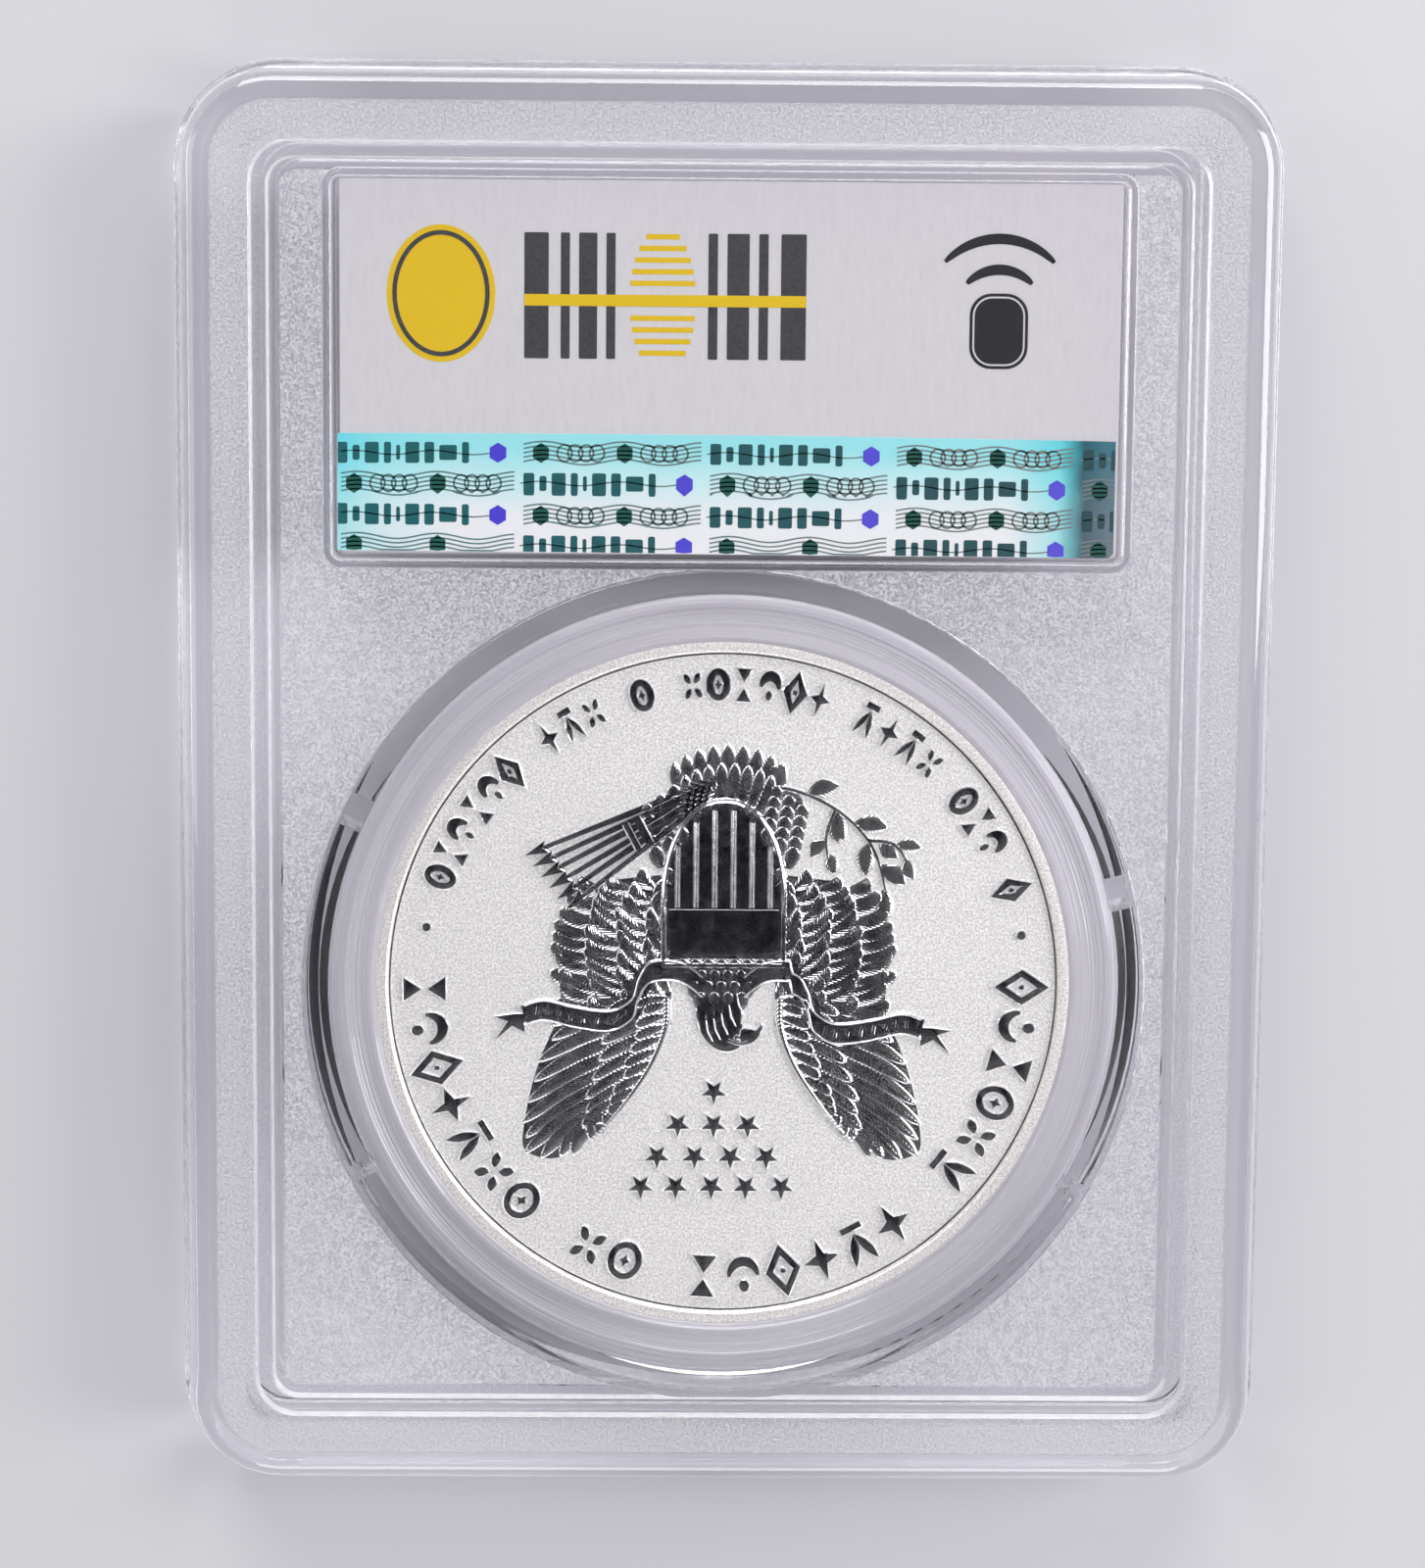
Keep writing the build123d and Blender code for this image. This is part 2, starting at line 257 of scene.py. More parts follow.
def close_patch(grid, faces, rows, columns, points, along):
    """Drops a skirt from the edge of a grid of points down into the ground and closes it underneath."""
    edge = grid[0][:columns]
    edge += [line[columns] for line in grid[:rows]]
    edge += grid[rows][:0:-1]
    edge += [grid[r][0] for r in range(rows, 0, -1)]
    first = len(points)
    for corner in edge:
        u, v, _ = points[corner]
        points.append((u, v, ROOT_DEPTH))
        along.append(along[corner])
    count = len(edge)
    for i in range(count):
        j = (i + 1) % count
        faces.append((edge[i], first + i, first + j, edge[j]))
    faces.append(tuple(first + i for i in reversed(range(count))))


BLADE_COLUMNS = 8
QUILL_RISE = 0.25


def blade_outline(t):
    """Half width of a feather along its length: narrow at the root, blunt and round at the tip."""
    swell = 0.5 + 0.5 * math.sin(min(t / 0.55, 1.0) * math.pi / 2)
    tip = math.sqrt(max(0.0, 1.0 - max(0.0, (t - 0.68) / 0.32) ** 2))
    return max(0.1, swell * tip)


def leaf_outline(t):
    """Half width of a leaf along its length: pointed at both ends."""
    return max(0.05, math.sin(math.pi * t) ** 0.8)


def blade(form, root, tip, width, rise, lift, bend=0.0, outline=blade_outline, rows=9, roll=0.0):
    """A feather or leaf: a flat-backed blade from root to tip with a raised quill, lying like a roof tile.

    lift is the height of its root and tip, and roll is how far its left edge stands above its middle.
    """
    root = Vector(root)
    run = Vector(tip) - root
    length = run.length
    run.normalize()
    side = Vector((-run.y, run.x))
    points, along, grid, faces = [], [], [], []
    for r in range(rows + 1):
        # The rows stand closer together towards the tip, which is rounder.
        t = 1 - (1 - r / rows) ** 1.8
        middle = root + run * (length * t) + side * (bend * 4 * t * (1 - t))
        half = width / 2 * outline(t)
        base = lift[0] + (lift[1] - lift[0]) * t
        line = []
        for c in range(BLADE_COLUMNS + 1):
            s = -1 + 2 * c / BLADE_COLUMNS
            spot = middle + side * (s * half)
            quill = QUILL_RISE if c * 2 == BLADE_COLUMNS else 0.0
            height = base + (roll * s + rise * (1 - s**4 + quill)) * min(1.0, 1.8 * outline(t))
            line.append(len(points))
            points.append((spot.x, spot.y, height))
            along.append((length * t, s * half))
        grid.append(line)
    for near, far in zip(grid, grid[1:]):
        for c in range(BLADE_COLUMNS):
            faces.append((near[c + 1], far[c + 1], far[c], near[c]))
    close_patch(grid, faces, rows, BLADE_COLUMNS, points, along)
    form.add(points, faces, along)


def polar(radius, angle, centre=(0.0, 0.0)):
    """The point at a distance and an angle in degrees from a centre."""
    turn = math.radians(angle)
    return (centre[0] + radius * math.cos(turn), centre[1] + radius * math.sin(turn))


def arc(centre, radius, start, end, steps):
    """Points along an arc, angles in degrees."""
    return [polar(radius, start + (end - start) * k / steps, centre) for k in range(steps + 1)]


def circle(centre, radius, count=12):
    """A circle's outline, anticlockwise."""
    return arc(centre, radius, 0, 360 - 360 / count, count - 1)


def oval(width, height, centre, steps=48):
    """An ellipse's outline, anticlockwise."""
    turns = [2 * math.pi * k / steps for k in range(steps)]
    return [(centre[0] + width / 2 * math.cos(t), centre[1] + height / 2 * math.sin(t)) for t in turns]


def mound(form, centre, radius, height, segments, rings):
    """A smooth round dome."""
    points = [(x, y, ROOT_DEPTH) for x, y in oval(2 * radius, 2 * radius, centre, segments)]
    for r in range(rings):
        reach = math.cos(math.pi / 2 * r / rings)
        wide = 2 * radius * reach
        level = height * math.sqrt(1 - reach**2)
        points += [(x, y, level) for x, y in oval(wide, wide, centre, segments)]
    top = len(points)
    points.append((*centre, height))
    faces = band_faces(rings + 1, segments)
    last = rings * segments
    faces += [(last + k, last + (k + 1) % segments, top) for k in range(segments)]
    faces.append(tuple(reversed(range(segments))))
    form.add(points, faces)


def inset_outline(outline, by):
    """The outline drawn in by a distance, keeping its corners."""
    made = []
    count = len(outline)
    for i, here in enumerate(outline):
        here = Vector(here)
        before = (here - Vector(outline[i - 1])).normalized()
        after = (Vector(outline[(i + 1) % count]) - here).normalized()
        normal = Vector((-before.y - after.y, before.x + after.x))
        spread = max(0.35, normal.length_squared / 2)
        made.append(here + normal * (by / spread))
    return made


def slab_of(form, outline, height, bevel=0.05, base=ROOT_DEPTH):
    """A flat-topped shape with a small bevel. The outline runs anticlockwise."""
    points = [(x, y, base) for x, y in outline]
    points += [(x, y, height - bevel) for x, y in outline]
    points += [(x, y, height) for x, y in inset_outline(outline, bevel)]
    form.add(points, band_faces(3, len(outline)) + lids(3, len(outline)))


def flat_profile(half, height, bevel=0.06):
    """Across a bar with a flat top and bevelled edges."""
    right = [(half - bevel, height), (half, height - bevel), (half, ROOT_DEPTH)]
    return [(-across, level) for across, level in reversed(right)] + right


def round_profile(half, height, steps=6):
    """Across a half-round bar."""
    turns = [math.pi * k / steps for k in range(steps + 1)]
    arch = [(-half * math.cos(turn), height * math.sin(turn)) for turn in turns]
    return [(-half, ROOT_DEPTH), *arch, (half, ROOT_DEPTH)]


def stroke(form, path, profile, closed=False, width=lambda t: 1.0, lift=0.0):
    """Sweeps a profile along a path. width scales it along the way."""
    count = len(path)
    across = len(profile)
    points, along = [], []
    travelled = 0.0
    for i in range(count):
        here = Vector(path[i])
        ways = []
        if i or closed:
            before = Vector(path[i - 1])
            ways.append((here - before).normalized())
        if i < count - 1 or closed:
            ways.append((Vector(path[(i + 1) % count]) - here).normalized())
        normal = sum((Vector((-way.y, way.x)) for way in ways), Vector((0, 0))) / len(ways)
        normal /= max(0.3, normal.length_squared)
        if i:
            travelled += (here - before).length
        scale = width(i / max(1, count - 1))
        for s, h in profile:
            spot = here - normal * (s * scale)
            points.append((spot.x, spot.y, h + (lift if h > ROOT_DEPTH else 0.0)))
            along.append((travelled, s * scale))
    faces = band_faces(count, across, closed)
    if not closed:
        faces += reversed(lids(count, across))
    form.add(points, [face[::-1] for face in faces], along)


def smooth_path(corners, steps=8):
    """A curve through a few points, by the Catmull-Rom rule."""
    ends = [corners[0], *corners, corners[-1]]
    made = []
    for i in range(1, len(ends) - 2):
        a, b, c, d = (Vector(p) for p in ends[i - 1 : i + 3])
        for k in range(steps):
            t = k / steps
            square, cube = 2 * a - 5 * b + 4 * c - d, 3 * b - a - 3 * c + d
            spot = 0.5 * (2 * b + (c - a) * t + square * t**2 + cube * t**3)
            made.append((spot.x, spot.y))
    made.append(tuple(corners[-1]))
    return made


def turned(points, angle, to=(0.0, 0.0)):
    """Points turned about the origin by degrees, then moved."""
    cos_turn, sin_turn = math.cos(math.radians(angle)), math.sin(math.radians(angle))
    return [(x * cos_turn - y * sin_turn + to[0], x * sin_turn + y * cos_turn + to[1]) for x, y in points]


def star_outline(radius, arms=5, waist=0.42):
    """A star's outline, anticlockwise from its topmost point."""
    reaches = (radius, radius * waist)
    return [polar(reaches[k % 2], 90 + 180 * k / arms) for k in range(2 * arms)]


# ---------------------------------------------------------------- coin

COIN_LOW, COIN_HIGH = node_box("coin")
COIN_CENTRE = (COIN_LOW + COIN_HIGH) / 2
COIN_RADIUS = (COIN_HIGH.x - COIN_LOW.x) / 2
RIM_WIDTH = 0.8
FIELD_DEPTH = 0.35
FIELD_HALF = (COIN_HIGH.z - COIN_LOW.z) / 2 - FIELD_DEPTH
REEDS = 200
REED_DEPTH = 0.1
RELIEF = 0.3


def struck_on_back(point):
    """From the coin's own upright drawing to its upside-down back face in the slab."""
    u, v, h = point
    return (COIN_CENTRE.x - u, COIN_CENTRE.y - v, COIN_CENTRE.z + FIELD_HALF + h)


def struck_on_front(point):
    """From the coin's own upright drawing to its front face, seen from below."""
    u, v, h = point
    return (COIN_CENTRE.x - u, COIN_CENTRE.y + v, COIN_CENTRE.z - FIELD_HALF - h)


def about_coin(reach, angle, height):
    """A point at a distance, an angle and a height from the coin's middle."""
    across, along = reach * math.cos(angle), reach * math.sin(angle)
    return (COIN_CENTRE.x + across, COIN_CENTRE.y + along, COIN_CENTRE.z + height)


def coin_section():
    """Half the coin's section, from field to edge: radius, height, and the share of a reed cut there."""
    inner = COIN_RADIUS - RIM_WIDTH
    top = FIELD_HALF + FIELD_DEPTH
    return [
        (inner - 0.4, FIELD_HALF, 0),
        (inner - 0.12, FIELD_HALF, 0),
        (inner - 0.02, FIELD_HALF + 0.03, 0),
        (inner + 0.05, top - 0.05, 0),
        (inner + 0.14, top, 0),
        (COIN_RADIUS - 0.32, top, 0),
        (COIN_RADIUS - 0.14, top - 0.03, 0),
        (COIN_RADIUS, top - 0.14, 0.2),
        (COIN_RADIUS, top - 0.22, 1),
    ]


def build_coin_body(material):
    """The disc: frosted fields, raised rims and a reeded edge."""
    segments = REEDS * 4
    half = coin_section()
    levels = half + [(r, -z, cut) for r, z, cut in reversed(half)]
    points = []
    for radius, height, cut in levels:
        for k in range(segments):
            reach = radius - (REED_DEPTH * cut if k % 4 < 2 else 0.0)
            points.append(about_coin(reach, 2 * math.pi * k / segments, height))
    faces = [(b, a, d, c) for a, b, c, d in band_faces(len(levels), segments)]
    middle = len(points)
    last = middle - segments
    points += [about_coin(0, 0, FIELD_HALF), about_coin(0, 0, -FIELD_HALF)]
    for k in range(segments):
        n = (k + 1) % segments
        faces.append((middle, k, n))
        faces.append((middle + 1, last + n, last + k))
    form = Form()
    form.add(points, faces)
    form.piece("coin_disc", material, COIN, "silver", sharp=28.0, replaces=("coin",))


# --- Marks that stand in for lettering: plain geometric ornaments, drawn upright about the origin ---

MARK_STROKE = 0.24
MARK_HEIGHT = RELIEF * 0.8
LEAF_STEPS = 9


def mark_lozenge(form, spot, size):
    """A lozenge outline with a bead in it."""
    outline = [(size * 0.38, 0), (0, size * 0.5), (-size * 0.38, 0), (0, -size * 0.5)]
    stroke(form, spot(outline), flat_profile(MARK_STROKE, MARK_HEIGHT), closed=True)
    slab_of(form, spot(circle((0, 0), 0.2)), MARK_HEIGHT)


def flat_leaf(form, spot, root, tip, width):
    """A flat leaf shape between two points."""
    root, tip = Vector(root), Vector(tip)
    run = tip - root
    side = Vector((run.y, -run.x)).normalized() * (width / 2)
    shares = [k / LEAF_STEPS for k in range(LEAF_STEPS + 1)]
    right = [root + run * t + side * leaf_outline(t) for t in shares]
    left = [root + run * t - side * leaf_outline(t) for t in reversed(shares)]
    slab_of(form, spot([tuple(p) for p in right + left]), MARK_HEIGHT, bevel=0.04)


def mark_sprout(form, spot, size):
    """Two leaves rising from one root over a short bar."""
    for side in (-1, 1):
        flat_leaf(form, spot, (side * 0.06, -size * 0.26), (side * size * 0.34, size * 0.5), size * 0.26)
    bar = [(-size * 0.3, -size * 0.42), (size * 0.3, -size * 0.42)]
    stroke(form, spot(bar), flat_profile(MARK_STROKE, MARK_HEIGHT))


def mark_crescent(form, spot, size):
    """A crescent lying on its back, with a round bead over it."""
    path = spot(arc((0, size * 0.06), size * 0.4, 188, 352, 14))
    section = flat_profile(MARK_STROKE * 1.5, MARK_HEIGHT)
    stroke(form, path, section, width=lambda t: 0.3 + 0.7 * math.sin(math.pi * t))
    slab_of(form, spot(circle((0, size * 0.24), size * 0.16)), MARK_HEIGHT)


def mark_star(form, spot, size):
    """A four-pointed star."""
    slab_of(form, spot(star_outline(size * 0.53, arms=4, waist=0.36)), MARK_HEIGHT, bevel=0.05)


def mark_glass(form, spot, size):
    """Two triangles that meet at their tips."""
    half, tall = size * 0.36, size * 0.5
    for way in (-1, 1):
        triangle = [(half * way, tall * way), (-half * way, tall * way), (0, 0.1 * way)]
        slab_of(form, spot(triangle), MARK_HEIGHT)


def mark_annulet(form, spot, size):
    """A ring with a small star in it."""
    stroke(form, spot(circle((0, 0), size * 0.38, 24)), flat_profile(MARK_STROKE, MARK_HEIGHT), closed=True)
    slab_of(form, spot(star_outline(size * 0.17, arms=4, waist=0.5)), MARK_HEIGHT, bevel=0.03)


def mark_fleuron(form, spot, size):
    """Four leaves in a cross."""
    for k in range(4):
        angle = 45 + 90 * k
        flat_leaf(form, spot, polar(size * 0.1, angle), polar(size * 0.52, angle), size * 0.26)


MARKS = (mark_lozenge, mark_sprout, mark_annulet, mark_crescent, mark_star, mark_fleuron, mark_glass)


def placer(centre, facing, narrow):
    """A function that moves an upright drawing to its place in a legend."""

    def spot(points):
        return turned([(x * narrow, y) for x, y in points], facing, centre)

    return spot


def legend(form, words, radius, size, start, end, outward, narrow=0.85):
    """Words of ornaments spaced evenly along an arc; outward marks stand with their tops towards the rim."""
    slots = sum(words) + len(words) - 1
    place = 0
    drawn = 0
    for word in words:
        for _ in range(word):
            angle = start + (end - start) * place / (slots - 1)
            spot = placer(polar(radius, angle), angle - 90 if outward else angle + 90, narrow)
            MARKS[(drawn * 3 + drawn // 7) % len(MARKS)](form, spot, size)
            drawn += 1
            place += 1
        place += 1


def draw_rim_line(form):
    """A fine polished line where a field meets its rim."""
    path = circle((0, 0), COIN_RADIUS - RIM_WIDTH - 0.06, 360)
    stroke(form, path, flat_profile(0.075, 0.03, 0.01), closed=True)


def draw_legend(form):
    """A ring of ornaments round the back: large over the top of the coin, small below."""
    legend(form, (6, 6, 2, 7), 17.4, 2.55, 180, 1, True)
    legend(form, (1, 3, 4, 6, 1, 3, 6), 17.65, 2.0, 199, 339, False, narrow=0.66)
    for angle in (190, 349):
        slab_of(form, circle(polar(17.6, angle), 0.3), MARK_HEIGHT)


# How high each row of stars is, and how far across each of its stars.
STAR_ROWS = (
    (6.3, (0.5,)),
    (8.3, (2.6, 0.5, -1.5)),
    (10.2, (3.8, 1.6, -0.5, -2.6)),
    (12.0, (4.75, 2.7, 0.6, -1.4, -3.5)),
)


def draw_stars(form):
    """Thirteen stars in a triangle over the bird's head."""
    for level, places in STAR_ROWS:
        for across in places:
            slab_of(form, turned(star_outline(0.88), 0, (across, level)), RELIEF * 0.7, bevel=0.06)


SHIELD_WIDTH = 7.0
SHIELD_TOP = -1.2
SHIELD_FOOT = -10.9
SHIELD_BAND = -4.5
SHIELD_STEPS = 10
STRIPE_PITCH = 1.08


def shield_outline(width, top, bottom):
    """A straight-sided shield that curves in to a point at its foot."""
    half = width / 2
    turn = top - (top - bottom) * 0.42
    left = [(-half, top), (-half, turn)]
    for k in range(1, SHIELD_STEPS):
        angle = k / SHIELD_STEPS * math.pi / 2
        left.append((-half * math.cos(angle) ** 0.9, turn + (bottom - turn) * math.sin(angle) ** 1.05))
    return left + [(0.0, bottom)] + [(-x, y) for x, y in reversed(left)]


def draw_shield(form):
    """The striped shield on the bird's breast, with a plain polished band across its head."""
    outline = shield_outline(SHIELD_WIDTH, SHIELD_TOP, SHIELD_FOOT)
    slab_of(form, outline, 0.16, bevel=0.04)
    stroke(form, outline, round_profile(0.2, 0.34), closed=True)
    low, high = SHIELD_BAND, SHIELD_TOP - 0.35
    half = SHIELD_WIDTH / 2 - 0.3
    slab_of(form, [(-half, low), (half, low), (half, high), (-half, high)], 0.27, bevel=0.03)
    for k in range(-2, 4):
        across = (k - 0.5) * STRIPE_PITCH
        foot = SHIELD_FOOT + 0.5 + 0.30 * across**2
        stroke(form, [(across, SHIELD_BAND - 0.12), (across, foot)], round_profile(0.2, 0.36, 8))


def on_path(path, t):
    """The point a share t of the way along a path's points."""
    at = t * (len(path) - 1)
    low = min(len(path) - 2, int(at))
    here, ahead = Vector(path[low]), Vector(path[low + 1])
    return here + (ahead - here) * (at - low)


def scatter(k, span=1.0):
    """A fixed, irregular number between -span and span for each k."""
    return span * (2 * math.modf(abs(math.sin(12.9898 * (k + 1))) * 43758.5453)[0] - 1)


FEATHER_RISE = 0.075
WING_LEADING = smooth_path([(3.3, 0.8), (3.4, 2.6), (4.3, 4.9), (6.0, 7.4), (7.6, 9.2)])
WING_TRAILING = smooth_path(
    [(9.8, 2.4), (10.6, 4.2), (11.2, 6.2), (11.6, 8.2), (11.6, 9.8), (10.3, 10.4), (8.8, 10.2)]
)
# Columns of locks: where each stands, and its locks' length, width and heading in degrees.
LOCK_COLUMNS = ((7.4, 2.6, 1.0, -22), (5.9, 2.3, 0.95, -34), (4.5, 2.1, 0.9, -46), (3.2, 1.9, 0.85, -62))
LOCK_ROWS = 12
LOCK_PITCH = 0.66
LOCK_FOOT = -5.6
LOCK_SCATTER = 11.0

# Layers of flight feathers: how many, how far they reach, and each one's width, lift and roll.
FLIGHT_LAYERS = (
    (11, 1.0, 0.9, (0.06, 0.1), -0.05),
    (10, 0.5, 0.8, (0.12, 0.17), -0.05),
    (12, 0.24, 0.7, (0.18, 0.24), -0.02),
)
# Low ground that the locks and the flight feathers lie on.
WING_GROUNDS = (
    [(3.0, -6.6), (6.4, -6.2), (8.6, -4.6), (9.4, -2.0), (9.5, 0.8), (9.0, 2.4), (3.0, 2.4)],
    WING_TRAILING[:-4] + WING_LEADING[-4::-1],
)


def wing(form, side):
    """One raised wing: flight feathers fan out above, and locks of short feathers hang below them."""

    def lay(root, tip, width, lift, bend, rows=9, roll=0.0):
        ends = ((root.x * side, root.y), (tip.x * side, tip.y))
        blade(form, *ends, width, FEATHER_RISE, lift, bend=bend * side, rows=rows, roll=roll)

    for across, length, width, heading in LOCK_COLUMNS:
        for r in range(LOCK_ROWS):
            number = 13 * r + int(across * 2)
            way = math.radians(heading + scatter(number, LOCK_SCATTER))
            # The lowest locks are short and stand further in, and the longest are half way up.
            taper = 0.66 + 0.34 * math.sin(min(1.0, (r + 1) / 6) * math.pi / 2)
            bulge = 0.88 + 0.22 * math.sin(math.pi * r / LOCK_ROWS) + scatter(number + 11, 0.06)
            level = LOCK_FOOT + LOCK_PITCH * r + scatter(number + 3, 0.12)
            root = Vector((across - 1.6 * (1 - taper), level))
            tip = root + Vector((math.cos(way), math.sin(way))) * (length * taper * bulge)
            lay(root, tip, width, (0.06, 0.14), 0.28 + scatter(number + 7, 0.1))
    for count, reach, width, lift, roll in FLIGHT_LAYERS:
        for k in range(count):
            t = k / (count - 1)
            root = on_path(WING_LEADING, 0.86 * t)
            tip = root + (on_path(WING_TRAILING, t) - root) * (reach + scatter(k, 0.045))
            lay(root, tip, width, lift, -0.5 * reach, 12, roll)
    edge = [(x * side, y) for x, y in WING_LEADING]
    stroke(form, edge, round_profile(0.32, 0.32, 8), width=lambda t: 1.0 - 0.55 * t)


def tail(form):
    """A fan of tail feathers below the shield, in two layers."""
    for count, reach, spread, lift, width in ((9, 4.6, 30, 0.1, 1.05), (8, 3.5, 26, 0.18, 0.85)):
        for k in range(count):
            t = 2 * k / (count - 1) - 1
            root = (1.2 * t - 0.2, -9.6)
            tip = polar(reach * (1 - 0.12 * t * t), -90 + spread * t, root)
            blade(form, root, tip, width, FEATHER_RISE, (0.06, lift), bend=0.25 * t, rows=10, roll=0.03)


def legs(form, side):
    """Feathered thighs beside the shield's foot."""
    for r in range(5):
        for k in range(3):
            x = 2.2 + 0.75 * k + 0.12 * r
            y = -8.0 - 0.62 * r + 0.55 * k
            ends = ((x * side, y), ((x + 0.35) * side, y - 1.3))
            blade(form, *ends, 0.85, FEATHER_RISE, (0.05, 0.2), bend=0.06 * side, rows=6)


def neck(form):
    """Short feathers that spread from the nape down over the breast."""
    for r in range(4):
        count = 7 - r
        level = -1.3 + 0.66 * r
        for k in range(count):
            t = 2 * k / (count - 1) - 1
            across = 0.1 + t * (2.3 - 0.36 * r)
            root = (across * 0.85 + 0.1, level + 0.9)
            blade(form, root, (across, level - 0.3), 0.8, 0.07, (0.12, 0.2), bend=0.08 * t, rows=7)


# The outlines of the head and the beak, anticlockwise.
HEAD_SHAPE = (
    (-2.9, -1.0), (0.0, -1.3), (2.9, -1.0), (2.0, -0.1), (1.6, 0.9),
    (1.55, 2.0), (1.25, 3.05), (0.5, 3.8), (-0.4, 4.0), (-1.15, 3.65),
    (-1.5, 3.2), (-1.2, 2.5), (-1.15, 1.7), (-1.35, 0.8), (-1.9, 0.0),
)
BEAK_SHAPE = (
    (-0.95, 3.6), (-1.55, 3.5), (-2.05, 3.15), (-2.3, 2.6),
    (-2.25, 2.15), (-1.95, 2.55), (-1.5, 2.5), (-1.0, 2.6),
)


def head(form):
    """A plain bird's head in profile, of no particular kind."""
    slab_of(form, smooth_path([*HEAD_SHAPE, HEAD_SHAPE[0]], 4)[:-1], 0.22, bevel=0.1)
    slab_of(form, smooth_path([*BEAK_SHAPE, BEAK_SHAPE[0]], 3)[:-1], 0.32, bevel=0.07)
    brow = smooth_path([(-1.45, 3.3), (-0.9, 3.42), (-0.3, 3.2)], 5)
    stroke(form, brow, flat_profile(0.1, 0.34, 0.04))
    slab_of(form, circle((-0.8, 3.05), 0.17), 0.33, bevel=0.05)
    for k in range(5):
        x, y = 0.95 - 0.45 * k, 3.05 - 0.1 * k * k
        crest = smooth_path([(x - 0.35, y + 0.25), (x - 0.05, y - 0.35), (x + 0.05, y - 1.0)], 4)
        stroke(form, crest, round_profile(0.1, 0.27), width=lambda t: math.sin(math.pi * (0.1 + 0.8 * t)))


def draw_feathers(form):
    """A spread-winged bird's plumage, of the builder's own drawing."""
    tail(form)
    for side in (-1, 1):
        wing(form, side)
        legs(form, side)
    neck(form)


def draw_head(form):
    """The low ground under the wings, and the bird's head."""
    for side in (-1, 1):
        for outline in WING_GROUNDS:
            outline = [(x * side, y) for x, y in outline]
            slab_of(form, outline if side > 0 else outline[::-1], 0.07, bevel=0.03)
    head(form)


def sprig(form, corners, leaves, length, width, stem=0.15, swap=1):
    """A stem with leaves alternating on both sides."""
    path = smooth_path(corners, 8)
    stroke(form, path, flat_profile(stem, 0.2, 0.05), width=lambda t: 1.0 - 0.45 * t)
    for k in range(leaves):
        t = (k + 0.8) / leaves
        at = min(len(path) - 2, int(t * (len(path) - 1)))
        here = Vector(path[at])
        way = Vector(path[at + 1]) - here
        side = swap if k % 2 == 0 else -swap
        heading = math.degrees(math.atan2(way.y, way.x)) + side * (38 if k < leaves - 1 else 8)
        tip = polar(length * (1 - 0.25 * abs(t - 0.5)), heading, here)
        blade(form, here, tip, width, 0.06, (0.1, 0.14), bend=0.1 * side, outline=leaf_outline)


def draw_branch(form):
    """The leafy branch held below one wing."""
    sprig(form, [(-1.2, -11.3), (-3.6, -11.6), (-6.6, -10.3), (-8.6, -8.2), (-9.4, -5.6)], 8, 2.1, 1.05)
    sprig(form, [(-6.4, -10.4), (-5.9, -8.9), (-6.0, -7.6)], 3, 1.5, 0.8)
    sprig(form, [(-8.3, -8.6), (-9.8, -8.4), (-10.6, -7.4)], 3, 1.6, 0.85, swap=-1)


ARROWS = 6


def arrow(form, end, point, lift):
    """An arrow with a barbed head, and fletched where it ends."""
    shaft = flat_profile(0.2, 0.22, 0.05)
    stroke(form, [tuple(end), tuple(point)], shaft, lift=lift, width=lambda t: 1.25 - 0.5 * t)
    way = (point - end).normalized()
    side = Vector((-way.y, way.x))
    barb = [point + way * 1.25, point + side * 0.42 - way * 0.3, point, point - side * 0.42 - way * 0.3]
    slab_of(form, [tuple(p) for p in barb], 0.26, bevel=0.05)
    for fletch in range(4):
        start = end + way * (0.2 + 0.45 * fletch)
        for out in (-1, 1):
            tip = start + way * 0.5 + side * 0.34 * out
            stroke(form, [tuple(start), tuple(tip)], flat_profile(0.09, 0.26, 0.03))


def draw_arrows(form):
    """The bundle of arrows held below the other wing, its points outwards, with two ties."""
    for k in range(ARROWS):
        t = k / (ARROWS - 1) - 0.5
        end = Vector((0.7 + 0.5 * t, -11.6 + 1.2 * t))
        point = Vector((9.4 - 2.2 * t, -6.6 + 2.9 * t))
        arrow(form, end, point, 0.03 * (k % 2))
    for place in (4.3, 4.95):
        level = 0.6 * (place - 4.3)
        tie = [(place, level - 8.4), (place + 0.8, level - 9.9)]
        stroke(form, tie, flat_profile(0.26, 0.32, 0.1))


RIBBON_HALF = 0.58
RIBBON_BEND = [(1.2, 0.1), (2.5, -0.8), (4.2, -0.8), (4.9, 0.2), (5.3, 1.4)]
RIBBON_PATH = smooth_path([*RIBBON_BEND, (6.6, 2.1), (8.6, 1.9), (10.4, 1.5), (11.6, 1.8)])
RIBBON_FORK = ((11.5, 2.9), (12.3, 2.5), (13.3, 3.3), (12.6, 2.2), (13.4, 1.9), (12.2, 1.7), (11.5, 1.7))


